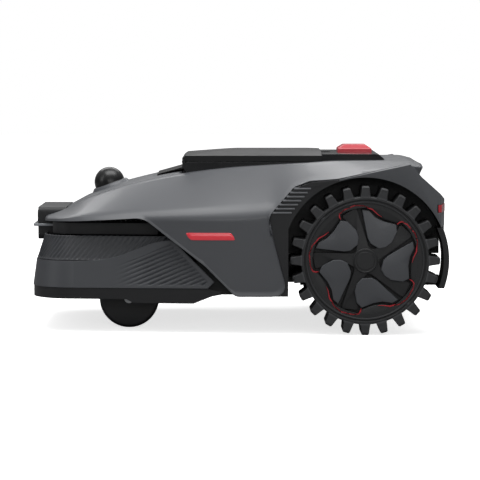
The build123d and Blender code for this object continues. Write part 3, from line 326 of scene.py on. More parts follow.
def finish_mesh(name, mesh, material, body, replaced=(), sharp=30):
    """Puts a finished mesh into the scene as a piece of the object."""
    piece = bpy.data.objects.new(name, mesh)
    bpy.context.scene.collection.objects.link(piece)
    if not mesh.materials:
        mesh.materials.append(material)
    mesh.shade_smooth()
    mesh.set_sharp_from_angle(angle=math.radians(sharp))
    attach(piece, body)
    if replaced:
        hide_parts(*replaced)
    return piece


def sheet_mesh(name, rows, outside):
    """A grid of quads through rows of points, whose faces look towards the point outside."""
    work = bmesh.new()
    grid = [[work.verts.new(point) for point in row] for row in rows]
    for low, high in zip(grid, grid[1:]):
        for c in range(len(low) - 1):
            work.faces.new((low[c], low[c + 1], high[c + 1], high[c]))
    bmesh.ops.remove_doubles(work, verts=work.verts, dist=0.02 * MM)
    bmesh.ops.dissolve_degenerate(work, edges=work.edges, dist=0.01 * MM)
    work.normal_update()
    middle = max(work.faces, key=lambda face: face.calc_area())
    if middle.normal.dot(Vector(outside) - middle.calc_center_median()) < 0:
        bmesh.ops.reverse_faces(work, faces=work.faces)
    return to_mesh(name, work)


def thicken(piece, thickness):
    """A wall on the inner side of a sheet, in millimetres."""
    wall = piece.modifiers.new("wall", "SOLIDIFY")
    wall.thickness = thickness * MM
    wall.offset = -1.0
    wall.use_even_offset = False


def round_edges(piece, width, segments=2, angle=30):
    """Moulded edges: a small radius, in millimetres, where edges are sharper than the angle."""
    radius = piece.modifiers.new("radius", "BEVEL")
    radius.width = width * MM
    radius.segments = segments
    radius.limit_method = "ANGLE"
    radius.angle_limit = math.radians(angle)
    radius.harden_normals = False
    return piece


def rounded_copy(node, material, width, segments=2):
    """The CAD node with moulded radii on its edges, in its place."""
    source = frame["nodes"][node]
    mesh = source.data.copy()
    work = bmesh.new()
    work.from_mesh(mesh)
    bmesh.ops.remove_doubles(work, verts=work.verts, dist=0.01 * MM)
    bmesh.ops.dissolve_limit(work, angle_limit=math.radians(0.5), verts=work.verts,
                             edges=work.edges)
    work.to_mesh(mesh)
    work.free()
    coat_mesh(mesh, material)
    piece = finish_mesh(node + "_moulding", mesh, material, body_of[node], (node,))
    return round_edges(piece, width, segments)


def smooth_curve(points):
    """A function through points, with no overshoot between them."""
    xs = [p[0] for p in points]
    ys = [p[1] for p in points]
    steps = [(ys[i + 1] - ys[i]) / (xs[i + 1] - xs[i]) for i in range(len(xs) - 1)]
    slopes = [steps[0]] + [
        0.0 if a * b <= 0 else 2 * a * b / (a + b) for a, b in zip(steps, steps[1:])
    ] + [steps[-1]]

    def value(x):
        if x <= xs[0]:
            return ys[0]
        if x >= xs[-1]:
            return ys[-1]
        i = max(k for k in range(len(xs) - 1) if xs[k] <= x)
        span = xs[i + 1] - xs[i]
        u = (x - xs[i]) / span
        return (
            (1 + 2 * u) * (1 - u) ** 2 * ys[i]
            + u * (1 - u) ** 2 * span * slopes[i]
            + u * u * (3 - 2 * u) * ys[i + 1]
            + u * u * (u - 1) * span * slopes[i + 1]
        )

    return value


CORNER_SHARE = 0.15  # of the way to the next corner that a rounded corner takes up


def rounded_path(corners, step):
    """Points along a path whose corners are x, z and radius, each with its share of the way
    from one corner to the next (2.5 is halfway between corners 2 and 3)."""
    pieces = []
    start = Vector(corners[0][:2])
    for i, corner in enumerate(corners):
        here = Vector(corner[:2])
        if 0 < i < len(corners) - 1 and corner[2]:
            before = (Vector(corners[i - 1][:2]) - here).normalized()
            after = (Vector(corners[i + 1][:2]) - here).normalized()
            half = before.angle(after) / 2
            reach = corner[2] / math.tan(half)
            first, last = here + before * reach, here + after * reach
            pieces.append((start, first, None, i - 1, i - CORNER_SHARE))
            pieces.append((first, last, here, i - CORNER_SHARE, i + CORNER_SHARE))
            start = last
        elif i:
            past = CORNER_SHARE if i > 1 and corners[i - 1][2] else 0
            pieces.append((start, here, None, i - 1 + past, i))
            start = here
    found = []
    for a, b, bend, low, high in pieces:
        if bend is None and i and found:
            low = found[-1][2]
        count = max(2, math.ceil((b - a).length / step))
        for k in range(count):
            u = k / count
            if bend is None:
                place = a.lerp(b, u)
            else:
                place = a.lerp(bend, u).lerp(bend.lerp(b, u), u)
            found.append((place.x, place.y, low + (high - low) * u))
    found.append((corners[-1][0], corners[-1][1], len(corners) - 1.0))
    return found


def between(values, share):
    """The value at a share of the way along a list, such as 2.5."""
    i = min(int(share), len(values) - 2)
    return values[i] + (values[i + 1] - values[i]) * (share - i)


# ------------------------------------------------------------------ upper shell
# Half width, crease height, shoulder half width, shoulder height and crown height along x.
stations = [
    (-292, 96, 165, 71, 167.4, 169.5),
    (-268, 140, 168, 80, 175, 177),
    (-228, 172, 172, 100, 194, 197),
    (-166, 188, 175, 108, 214, 219),
    (-88, 200, 177, 110, 231, 235.5),
    (-8, 204.6, 178, 112, 242, 243),
    (44, 204.6, 182, 113, 245.5, 246.5),
    (103, 204.6, 212, 114, 249, 250),
    (149, 203, 227, 115, 252, 253),
    (216, 192, 241, 116, 252.6, 253.6),
    (255, 178, 248, 114, 252.8, 252.6),
    (280, 160, 245, 106, 247.8, 247.2),
]
half_width, crease, shoulder, shoulder_height, crown = (
    smooth_curve([(row[0], row[i]) for row in stations]) for i in range(1, 6)
)
# Lower edge of the shell from nose to tail (x, z, corner radius), and the place on the
# shoulder that each of its corners is joined to.
shell_edge = [(-292, 161, 0), (-139, 171, 34), (-48, 101, 80), (-3, 55.6, 14), (76, 55.6, 20),
              (44, 172, 25), (84, 216, 14), (107, 225, 14), (149, 229, 60), (253, 250.6, 7),
              (269, 232.5, 0)]
shoulder_mates = [-292, -150, -75, -45, -5, 36, 80, 105, 150, 256, 277]
LIP_WIDTH, LIP_FLARE, LIP_SHARE = 6.5, 1.5, 0.3
SHELL_STEP, SHELL_ROWS, TOP_ROWS = 5.0, 60, 5
SHELL_WALL, SOFT_TURN = 2.4, 15.0
SIDE_LEAN, SIDE_FULLNESS = 0.012, 0.16
NOSE_TOP, TAIL_END = -261.5, 277
POD_EDGE, POD_FRONT, POD_REAR = 92.8, -85.0, 222.8
POD_SHARE = 0.86  # of the shoulder's half width, where the shell is narrower than the pod


def shell_side(x, z):
    """Half width of the shell's side at a height: it leans in below its crease and slopes to
    the shoulder above it, with a soft turn between the two."""
    wide, bend = half_width(x), crease(x)
    rise = max(1.0, shoulder_height(x) - bend)
    share = min(1.0, max(0.0, (z - bend) / rise))
    below = wide + SIDE_LEAN * (z - bend)
    above = wide - (wide - shoulder(x)) * (z - bend) / rise
    above += SIDE_FULLNESS * (wide - shoulder(x)) * share * (1 - share)
    near = max(0.0, 1 - abs(below - above) / SOFT_TURN)
    return min(below, above) - near * near * SOFT_TURN / 4


def shell_grid():
    """Rows from the lower edge of the side, over the shoulder, to the pod or the crown."""
    rows = []
    for x, z, share in rounded_path(shell_edge, SHELL_STEP):
        mate = between(shoulder_mates, share)
        top = Vector((mate, shoulder_height(mate)))
        foot = Vector((x, z))
        length = max((top - foot).length, 1e-6)
        row = []
        for distance, inset in ((0.0, 0.4), (1.0, -LIP_FLARE), (LIP_WIDTH, 0.0)):
            place = foot.lerp(top, min(distance / length, LIP_SHARE))
            row.append((place.x, shell_side(place.x, place.y) - inset, place.y))
        start = min(LIP_WIDTH / length, LIP_SHARE)
        for k in range(1, SHELL_ROWS + 1):
            place = foot.lerp(top, start + (1 - start) * k / SHELL_ROWS)
            row.append((place.x, shell_side(place.x, place.y), place.y))
        edge, height, ridge = shoulder(mate), shoulder_height(mate), crown(mate)
        pod = POD_EDGE if POD_FRONT <= mate <= POD_REAR else min(POD_EDGE, POD_SHARE * edge)
        for k in range(1, TOP_ROWS + 1):
            y = edge + (pod - edge) * k / TOP_ROWS
            row.append((mate, y, height + (ridge - height) * (1 - (y / edge) ** 2)))
        rows.append(row)
    return rows


def shell_bridge(name, first, last, count):
    """The top of the shell between its two sides, ahead of or behind the pod."""
    rows = []
    for k in range(count + 1):
        x = first + (last - first) * k / count
        edge = min(POD_EDGE, POD_SHARE * shoulder(x)) if x < POD_REAR else POD_EDGE
        row = []
        for y in (edge * (1 - j / 10) for j in range(21)):
            bulge = 1 - (y / shoulder(x)) ** 2
            row.append((x, y, shoulder_height(x) + (crown(x) - shoulder_height(x)) * bulge))
        rows.append(row)
    return sheet_mesh(name, scaled(rows), (0, 0, 9))


def joined(name, meshes, merge):
    """One mesh out of several, with points closer than the merge distance made one."""
    work = bmesh.new()
    for mesh in meshes:
        work.from_mesh(mesh)
        bpy.data.meshes.remove(mesh)
    bmesh.ops.remove_doubles(work, verts=work.verts, dist=merge * MM)
    return to_mesh(name, work)


def make_upper_shell():
    """Two moulded sides with a rolled lip, and a top round the pod and behind the camera."""
    parts = []
    for _, sign in SIDES:
        rows = [[(x, sign * y, z) for x, y, z in row] for row in shell_grid()]
        parts.append(sheet_mesh("shell_side", scaled(rows), (0, sign, 0.16)))
    parts.append(shell_bridge("shell_front", NOSE_TOP, POD_FRONT, 26))
    parts.append(shell_bridge("shell_tail", POD_REAR, TAIL_END, 10))
    mesh = joined("shell_moulding", parts, 0.3)
    piece = finish_mesh("shell_moulding", mesh, graphite, "chassis", ("upper_shell",),
                        24)
    thicken(piece, SHELL_WALL)


make_upper_shell()


# ------------------------------------------------------------------ Geometry Nodes
def new_tree(name, inputs):
    """An empty modifier tree with a geometry input and named sizes."""
    tree = bpy.data.node_groups.new(name, "GeometryNodeTree")
    tree.interface.new_socket("Geometry", in_out="OUTPUT", socket_type="NodeSocketGeometry")
    tree.interface.new_socket("Geometry", in_out="INPUT", socket_type="NodeSocketGeometry")
    for label, kind in inputs:
        tree.interface.new_socket(label, in_out="INPUT", socket_type="NodeSocket" + kind)
    return tree, tree.nodes.new("NodeGroupInput").outputs


def end_tree(tree, geometry, material):
    """Real geometry with its material, out of the tree."""
    real = add_node(tree, "GeometryNodeRealizeInstances", Geometry=geometry)
    painted = add_node(tree, "GeometryNodeSetMaterial", Geometry=real.outputs["Geometry"],
                       Material=material)
    add_node(tree, "NodeGroupOutput", Geometry=painted.outputs["Geometry"])
    return tree


def repeat_tree(material):
    """Copies the input geometry round an axis along Y, or along a line."""
    tree, given = new_tree("repeat_part", [("Count", "Int"), ("Centre", "Vector"),
                                           ("Turn", "Float"), ("Step", "Vector"),
                                           ("Shrink", "Float")])
    points = add_node(tree, "GeometryNodePoints", Count=given["Count"])
    number = add_node(tree, "GeometryNodeInputIndex").outputs["Index"]
    shift = add_node(tree, "ShaderNodeVectorMath", {"operation": "MULTIPLY_ADD"},
                     in_0=given["Step"], in_1=number, in_2=given["Centre"])
    placed = add_node(tree, "GeometryNodeSetPosition", Geometry=points.outputs["Geometry"],
                      Position=shift.outputs["Vector"])
    angle = add_node(tree, "ShaderNodeMath", {"operation": "MULTIPLY"}, in_0=number,
                     in_1=given["Turn"])
    turn = add_node(tree, "ShaderNodeCombineXYZ", Y=angle.outputs["Value"])
    size = add_node(tree, "ShaderNodeMath", {"operation": "MULTIPLY_ADD"}, in_0=number,
                    in_1=given["Shrink"], in_2=1.0)
    scale = add_node(tree, "ShaderNodeCombineXYZ", X=size.outputs["Value"], Y=1.0, Z=1.0)
    copies = add_node(tree, "GeometryNodeInstanceOnPoints", Points=placed.outputs["Geometry"],
                      Instance=given["Geometry"], Rotation=turn.outputs["Vector"],
                      Scale=scale.outputs["Vector"])
    return end_tree(tree, copies.outputs["Instances"], material)


def rib_tree(material):
    """Presses slanted ribs into a surface, fading by the surface's own attribute."""
    tree, given = new_tree("slanted_ribs", [("Pitch", "Float"), ("Depth", "Float"),
                                            ("Slant", "Float"), ("Sharpness", "Float")])
    along = add_node(tree, "GeometryNodeInputNamedAttribute", Name="along").outputs["Attribute"]
    fade = add_node(tree, "GeometryNodeInputNamedAttribute", Name="fade").outputs["Attribute"]
    place = add_node(tree, "GeometryNodeInputPosition").outputs["Position"]
    height = add_node(tree, "ShaderNodeSeparateXYZ", Vector=place).outputs["Z"]

    def math_node(operation, *values):
        links = {"in_%d" % i: value for i, value in enumerate(values)}
        return add_node(tree, "ShaderNodeMath", {"operation": operation}, **links).outputs["Value"]

    across = math_node("SUBTRACT", math_node("MULTIPLY", along, math_node("SINE", given["Slant"])),
                       math_node("MULTIPLY", height, math_node("COSINE", given["Slant"])))
    phase = math_node("MULTIPLY", math_node("DIVIDE", across, given["Pitch"]), math.tau)
    wave = math_node("MULTIPLY_ADD", math_node("COSINE", phase), 0.5, 0.5)
    groove = math_node("POWER", wave, given["Sharpness"])
    depth = math_node("MULTIPLY", math_node("MULTIPLY", groove, fade),
                      math_node("MULTIPLY", given["Depth"], -1.0))
    normal = add_node(tree, "GeometryNodeInputNormal").outputs["Normal"]
    offset = add_node(tree, "ShaderNodeVectorMath", {"operation": "SCALE"}, Vector=normal,
                      Scale=depth)
    moved = add_node(tree, "GeometryNodeSetPosition", Geometry=given["Geometry"],
                     Offset=offset.outputs["Vector"])
    return end_tree(tree, moved.outputs["Geometry"], material)


def grown(mesh, tree, **sizes):
    """The mesh that a tree makes out of another, with the modifier gone."""
    carrier = bpy.data.objects.new("carrier", mesh)
    bpy.context.scene.collection.objects.link(carrier)
    modifier = carrier.modifiers.new("nodes", "NODES")
    modifier.node_group = tree
    for item in tree.interface.items_tree:
        if item.in_out == "INPUT" and item.name in sizes:
            modifier[item.identifier] = sizes[item.name]
    graph = bpy.context.evaluated_depsgraph_get()
    result = bpy.data.meshes.new_from_object(carrier.evaluated_get(graph))
    bpy.data.objects.remove(carrier)
    bpy.data.meshes.remove(mesh)
    return result


# ------------------------------------------------------------------ bumper, ribbed skin and trims
NOSE_FRONT, NOSE_CORNER, NOSE_FLAT = -309.0, 65.0, 110.0
NOSE_REAR, NOSE_WIDEST, FRONT_STEP = -22.0, 197.0, 6
BUMPER_LOW, BUMPER_HIGH = 67, 138
BUMPER_LEAN, SKIN_LEAN = math.radians(8), math.radians(18)
SKIN_TOP, SKIN_GAP = 143, 0.6
CORNER_X = NOSE_FRONT + NOSE_CORNER
FLARE = (NOSE_WIDEST - NOSE_FLAT - NOSE_CORNER) / (NOSE_REAR - CORNER_X)


def nose_rows(levels, inset_at, end_at, height_at, fade_at, side_steps, step=2.2):
    """Rows of points round the nose from the left rear to the right rear, one for each level.
    Each point also gets its length along the nose and the depth of the ribs there."""
    front_steps = int(2 * NOSE_FLAT / FRONT_STEP)
    corner_steps = int(math.pi / 2 * NOSE_CORNER / step)
    rows = []
    for level in levels:
        half = []
        for k in range(front_steps // 2 + 1):
            half.append((NOSE_FRONT, -NOSE_FLAT * k / (front_steps // 2), None))
        for k in range(1, corner_steps + 1):
            turn = math.pi / 2 * k / corner_steps
            half.append((CORNER_X - NOSE_CORNER * math.cos(turn),
                         -NOSE_FLAT - NOSE_CORNER * math.sin(turn), turn))
        for k in range(1, side_steps + 1):
            x = CORNER_X + (end_at(level) - CORNER_X) * k / side_steps
            half.append((x, -NOSE_FLAT - NOSE_CORNER - FLARE * (x - CORNER_X), math.pi / 2))
        row = []
        length = 0.0
        for k, (x, y, turn) in enumerate(half):
            if k:
                length += math.dist((x, y), half[k - 1][:2])
            share = max(0.0, (x - CORNER_X) / (end_at(level) - CORNER_X))
            z = height_at(level, x, share)
            inset = inset_at(z)
            angle = turn or 0.0
            row.append((x + inset * math.cos(angle), y + inset * math.sin(angle), z, length,
                        fade_at(x, z, share)))
        left = list(reversed(row))
        rows.append(left + [(x, -y, z, length, fade) for x, y, z, length, fade in row[1:]])
    return rows


def nose_sheet(name, rows):
    """A sheet of the nose, with its rib attributes."""
    mesh = bpy.data.meshes.new(name)
    width = len(rows[0])
    points = [point for row in rows for point in row]
    faces = [
        (r * width + c, r * width + c + 1, (r + 1) * width + c + 1, (r + 1) * width + c)
        for r in range(len(rows) - 1)
        for c in range(width - 1)
    ]
    mesh.from_pydata([(x * MM, y * MM, z * MM) for x, y, z, _, _ in points], [], faces)
    mesh.update()
    middle = mesh.polygons[width // 2]
    if middle.normal.x > 0:
        mesh.flip_normals()
    for label, column, unit in (("along", 3, MM), ("fade", 4, 1.0)):
        field = mesh.attributes.new(label, "FLOAT", "POINT")
        field.data.foreach_set("value", [point[column] * unit for point in points])
    return mesh


def drop_attributes(mesh):
    """The rib attributes have done their work once the ribs are pressed."""
    for label in ("along", "fade"):
        if label in mesh.attributes:
            mesh.attributes.remove(mesh.attributes[label])


bumper_top = smooth_curve([(-400, 106), (-200, 106), (-178, 107.5), (-160, 111.5), (-97, 138)])


def soft_step(value):
    """From 0 to 1 without a corner at either end."""
    share = min(1.0, max(0.0, value))
    return share * share * (3 - 2 * share)


def bumper_height(level, x, share):
    """Height of a level, which runs level round the nose and follows the rear edge."""
    foot = BUMPER_LOW - 0.4
    plain = foot + level * (min(bumper_top(x), BUMPER_HIGH) - foot)
    rear = BUMPER_LOW + level * (BUMPER_HIGH - BUMPER_LOW)
    return plain + (rear - plain) * share ** 2


def bumper_end(level):
    """Where a level ends: a short step back at the foot, then a slant up to the top."""
    foot_x, knee_x, knee_z, top_x = -44, -34, 77, -96
    z = BUMPER_LOW + level * (BUMPER_HIGH - BUMPER_LOW)
    if z < knee_z:
        return foot_x + (z - BUMPER_LOW)
    return knee_x - (z - knee_z) * (knee_x - top_x) / (BUMPER_HIGH - knee_z)


def bumper_fade(x, z, share):
    """Grooves only behind the corner, ending in a clean line along the rear edge."""
    grooves_from, deepening, last_share = -186, 62, 0.955
    deep = soft_step((x - grooves_from) / deepening)
    ends = soft_step((last_share - share) / 0.012)
    rims = soft_step((z - 71) / 2)
    rims *= soft_step((min(bumper_top(x), BUMPER_HIGH) - 4 - z) / 2)
    return deep * ends * rims


def make_nose():
    """Bumper with diagonal grooves, and the finely ribbed skin over it."""
    rows = nose_rows([k / 60 for k in range(61)],
                     lambda z: (z - BUMPER_LOW) * math.tan(BUMPER_LEAN), bumper_end,
                     bumper_height, bumper_fade, 130)
    mesh = grown(nose_sheet("bumper", rows), rib_tree(graphite_textured), Pitch=6.1 * MM,
                 Depth=2.1 * MM, Slant=math.radians(23), Sharpness=2.2)
    drop_attributes(mesh)
    piece = finish_mesh("bumper_moulding", mesh, graphite_textured, "front_bumper",
                        ("front_bumper",), 50)
    thicken(piece, 3.2)

    def skin_height(level, x, share):
        foot = min(bumper_top(x), BUMPER_HIGH) + SKIN_GAP
        return foot + level * (SKIN_TOP - foot)

    def skin_fade(x, z, share):
        return soft_step((z - bumper_top(x) - 2) / 2) * soft_step((SKIN_TOP - 0.5 - z) / 2)

    rows = nose_rows([k / 22 for k in range(23)],
                     lambda z: 6 + (z - 106) * math.tan(SKIN_LEAN),
                     lambda level: -97 - 7 * level, skin_height, skin_fade, 100, 1.6)
    mesh = grown(nose_sheet("skin", rows), rib_tree(black_rubber_skin), Pitch=6.4 * MM,
                 Depth=2.0 * MM, Slant=math.radians(50), Sharpness=1.1)
    drop_attributes(mesh)
    piece = finish_mesh("ribbed_skin_moulding", mesh, black_rubber_skin, "front_bumper",
                        ("ribbed_skin",), 60)
    thicken(piece, 2.0)
    rounded_copy("base_trim", black_trim, 1.0)
    rounded_copy("sensor_band", black_trim, 0.8)


make_nose()


# ------------------------------------------------------------------ drive wheels
WHEEL_X, WHEEL_Z = 188.0, 110.0
INNER, OUTER = 155.0, 215.0  # sides of the tyre
LUGS = 24
# Inner edge of the cover's outer ring over one fifth, clockwise: the corners that the red
# line follows, then the smooth bow of the ring between two petals.
line_corners = [(-37.7, 62.4), (-37.7, 68.0), (-31, 74.0), (-15.1, 80.6), (-3.2, 80.1), (9.7, 74.6)]
bow_points = [(9.7, 74.6), (17, 67.2), (28, 60.8), (38, 57.6), (45.2, 55.6)]
petal_edge = [(2.7, 33.6), (-5.5, 75.5), (4, 74.5), (14, 64.8), (27, 58.2), (38, 55.4),
              (45.6, 53.2), (47, 43), (39, 26.6), (30, 19.8), (19.5, 17.6), (7.2, 25)]
spoke_edge = [(-33.4, 63.0), (-33.8, 66.6), (-14.6, 77.6), (-11.4, 74.4), (1.2, 34), (5.0, 21),
              (12, 12), (-14, 12), (-12.5, 21.5), (-13.2, 33.6), (-16.2, 44), (-23, 52.5)]


def around(points, fifth):
    """Points turned clockwise by fifths of a turn."""
    turn = -math.tau / 5 * fifth
    return [(x * math.cos(turn) - z * math.sin(turn), x * math.sin(turn) + z * math.cos(turn))
            for x, z in points]


def revolved(name, profile, steps):
    """A ring round the left wheel's axle, whose section is (radius, distance outwards)."""
    turns = [math.tau * k / steps for k in range(steps)]
    work = bmesh.new()
    loft(work, [[(r * math.cos(turn), -y, r * math.sin(turn)) for r, y in profile]
                for turn in turns], ring=True)
    bmesh.ops.remove_doubles(work, verts=work.verts, dist=0.002)
    return closed_mesh(name, work, (WHEEL_X, 0, WHEEL_Z))


def plate(name, outline, heights, thickness, rim=0.0, crown=0.0):
    """A plate in the wheel's plane (x and z from the axle, y outwards), with a height of its
    face at each corner, a sloping rim and a crowned middle."""
    work = bmesh.new()
    middle = Vector((sum(p[0] for p in outline), sum(p[1] for p in outline))) / len(outline)
    face, foot = [], []
    for (x, z), height in zip(outline, heights):
        inward = (middle - Vector((x, z))).normalized() * rim
        face.append(work.verts.new((x + inward.x, -height, z + inward.y)))
        foot.append(work.verts.new((x, -(height - thickness), z)))
    top = work.faces.new(face)
    work.faces.new(list(reversed(foot)))
    count = len(outline)
    for i in range(count):
        j = (i + 1) % count
        work.faces.new((face[i], foot[i], foot[j], face[j]))
    if crown:
        poked = bmesh.ops.poke(work, faces=[top])
        poked["verts"][0].co.y -= crown
    else:
        bmesh.ops.triangulate(work, faces=[top])
    return closed_mesh(name, work)


def lug_mesh():
    """One cleat of the tyre: a tapered block with rounded tips, and fine ridges on its ends."""
    steps = 40
    sections = []
    for k in range(steps + 1):
        y = INNER + 0.6 + (OUTER - INNER - 1.2) * k / steps
        ends = min(1.0, min(k, steps - k) / 2.0)
        ridge = 0.35 if k % 2 and 2 < k < steps - 2 else 0.0
        tip = 109.9 - 2.2 * (1 - ends) ** 2 - ridge
        waist = 0.7 * (1 - ends)
        section = [(92.5, -8.4), (96, -7.4 + waist), (104, -6.2 + waist), (108.3, -5.6 + waist),
                   (tip, -4.0 + waist), (tip, 4.0 - waist), (108.3, 5.6 - waist),
                   (104, 6.2 - waist), (96, 7.4 - waist), (92.5, 8.4)]
        sections.append([(side, -y, r) for r, side in section])
    work = bmesh.new()
    loft(work, sections)
    return closed_mesh("lug", work)


def ring_mesh():
    """Outer ring of the wheel cover: five straight-cornered recesses with bows between."""
    boundary = []
    for fifth in range(5):
        corners = around(line_corners, fifth)
        for a, b in zip(corners, corners[1:]):
            boundary += [Vector(a).lerp(Vector(b), k / 4) for k in range(4)]
        bow = [Vector(p) for p in around(bow_points, fifth)]
        for a, b in zip(bow, bow[1:]):
            boundary += [a.lerp(b, k / 3) for k in range(3)]
    sections = []
    for point in boundary:
        r = point.length
        out = point.normalized()
        profile = ((r, 203.0), (r, 210.4), (r + 0.8, 211.2), (r + 2.4, 211.6),
                   (r + (88 - r) * 0.5, 212.3), (85.0, 212.6), (86.2, 212.0), (86.2, 203.0))
        sections.append([(out.x * radius, -y, out.y * radius) for radius, y in profile])
    work = bmesh.new()
    loft(work, sections, ring=True)
    return closed_mesh("ring", work, (WHEEL_X, 0, WHEEL_Z))


def line_mesh():
    """A thin raised strip along the corners of one recess, tapering off along the bow."""
    points = [(-36.6, 60.6), (-38.3, 64.5), (-38.6, 68.6), (-31.6, 74.9), (-15.5, 81.6),
              (-3.0, 81.1), (10.3, 75.4), (18.2, 68.0), (24.0, 64.4)]
    widths = [0.3, 1.0, 1.1, 1.1, 1.1, 1.1, 1.0, 0.6, 0.15]
    points = [Vector(p) for p in points]
    foot, crest = 209.0, 213.0
    sections = []
    for i, (here, width) in enumerate(zip(points, widths)):
        run = (points[min(i + 1, len(points) - 1)] - points[max(i - 1, 0)]).normalized()
        side = Vector((-run.y, run.x)) * width
        sections.append([(p.x, -y, p.y) for p, y in (
            (here - side, foot), (here - side * 0.8, crest), (here + side * 0.8, crest),
            (here + side, foot))])
    work = bmesh.new()
    loft(work, sections)
    return closed_mesh("line", work)


def on_side(mesh, sign):
    """The mesh of the left wheel for one side."""
    mesh = mesh.copy()
    if sign > 0:
        mesh.transform(Matrix.Scale(-1, 4, (0, 1, 0)))
        mesh.flip_normals()
    return mesh


def make_drive_wheels():
    """Cleated tyre, dished rim and a five-petal cover with red lines."""
    hub = Vector((WHEEL_X * MM, 0, WHEEL_Z * MM))
    fifths = {"Count": 5, "Centre": hub, "Turn": math.tau / 5}
    lugs = grown(lug_mesh(), repeat_tree(tyre_rubber), Count=LUGS, Centre=hub,
                 Turn=math.tau / LUGS)
    tread = revolved("tread", [(84.3, 156), (84.3, 213.6), (86.6, 214.4), (87.8, 213.2),
                               (89, 213.2), (90.2, 214.6), (93, 214.2), (94, 213),
                               (94.3, 185.5), (93, 185), (94.3, 184.5), (94, 157), (92, 155.6),
                               (86, 155.4)], 144)
    tyre = joined("tyre", [lugs, tread], 0.001)
    # Painted light: the petals get a lighter grey than the spokes and ring.
    petals = grown(plate("petal", petal_edge, [212.2, 211.0, 210.9, 211.0, 211.2, 211.4, 211.6,
                                               212.0, 213.0, 213.4, 213.6, 213.2], 9.0, 0.6, 1.6),
                   repeat_tree(petal_lit_plastic), **fifths)
    spokes = grown(plate("spoke", spoke_edge, [206.0, 206.0, 206.4, 206.8, 209.6, 210.8, 211.4,
                                               211.4, 210.8, 209.4, 207.8, 206.8], 5.0, 0.5),
                   repeat_tree(wheel_dark), **fifths)
    lines = grown(line_mesh(), repeat_tree(red_line), **fifths)
    ring = ring_mesh()
    back = revolved("back", [(17, 198.5), (80, 198.5), (84.2, 203), (84.2, 200.5), (80, 195),
                             (17, 195)], 96)
    cap = revolved("cap", [(0.01, 213.9), (12.8, 213.9), (13.4, 213.3), (15.8, 213.3),
                           (16.4, 213.9), (17.4, 213.7), (18.2, 212.8), (18.4, 205),
                           (0.01, 205)], 72)
    for side, sign in SIDES:
        body = "drive_wheel_" + side
        tyre_piece = finish_mesh("tyre_cleats_" + side, on_side(tyre, sign), tyre_rubber, body,
                                 ("tyre_" + side,), 35)
        round_edges(tyre_piece, 0.5, 1, 40)
        finish_mesh("cover_ring_" + side, on_side(ring, sign), wheel_dark, body,
                    ("wheel_cover_" + side,), 35)
        # Painted shade: the back of the cover shows dead black through the recesses.
        finish_mesh("cover_back_" + side, on_side(back, sign), fine_black, body, ())
        for name, mesh, material, width in (("petals", petals, petal_lit_plastic, 0.6),
                                            ("spokes", spokes, wheel_dark, 0.5)):
            piece = finish_mesh("cover_%s_%s" % (name, side), on_side(mesh, sign), material, body,
                                (), 35)
            round_edges(piece, width, 2, 40)
        finish_mesh("red_lines_" + side, on_side(lines, sign), red_line, body,
                    ("wheel_accents_" + side,), 40)
        finish_mesh("hub_cap_disc_" + side, on_side(cap, sign), wheel_dark, body,
                    ("hub_cap_" + side,), 35)


make_drive_wheels()


# ------------------------------------------------------------------ arch trims, fenders and tail
def slat_mesh(length, height, depth):
    """One louvre: a bar with a sloped upper face, square ends and a sharp lower edge."""
    work = bmesh.new()
    loft(work, [[(x, 0, -height / 2), (x, -depth, -height / 2), (x, -depth, -height / 2 + 0.9),
                 (x, 0, height / 2)] for x in (-length / 2, length / 2)])
    return closed_mesh("slat", work)


def make_vents():
    """Seven louvres on each arch trim, in a row that leans back towards the top."""
    # Painted highlight: the louvres get a lighter grey than the trim.
    tree = repeat_tree(slat_highlight_nylon)
    for side, sign in SIDES:
        rounded_copy("vent_panel_" + side, black_trim, 0.9)
        slats = grown(slat_mesh(24.8, 3.2, 1.5), tree, Count=7,
                      Centre=Vector((95.5, -202.2, 216.0)) * MM,
                      Step=Vector((-5.07, 0, -5.94)) * MM, Shrink=0.03)
        finish_mesh("vent_slats_" + side, on_side(slats, sign), slat_highlight_nylon, "chassis", ())


INNER_SHADE_SIDE = 151.0  # inner side of the fenders
ARCH_SHADE_TURN = 0.6  # how squarely a face of the fender looks at the axle to be painted near black as shade in the arch


def make_rear():
    """Graphite fenders whose faces towards the axle and on the inner side are painted near black as
    painted shade in the arch, and the tail with its lights and contacts.
    """
    for side, _ in SIDES:
        fender = rounded_copy("fender_" + side, graphite, 1.6, 3)
        fender.data.materials.append(chassis_plastic)
        # Painted shade: faces that look at the axle, and those on the inner side, get the
        # near-black chassis colour.
        for face in fender.data.polygons:
            x, y, z = face.center / MM
            inward = (WHEEL_X - x) * face.normal.x + (WHEEL_Z - z) * face.normal.z
            away = math.hypot(x - WHEEL_X, z - WHEEL_Z)
            if inward > ARCH_SHADE_TURN * away or abs(y) < INNER_SHADE_SIDE:
                face.material_index = 1
        rounded_copy("rear_guard_" + side, black_trim, 1.4)
    rounded_copy("rear_cover", graphite, 1.2)
    rounded_copy("rear_hatch", black_trim, 0.5)
    rounded_copy("tail_lights", red_lens, 1.2, 3)
    rounded_copy("charge_contacts", brass, 0.4)


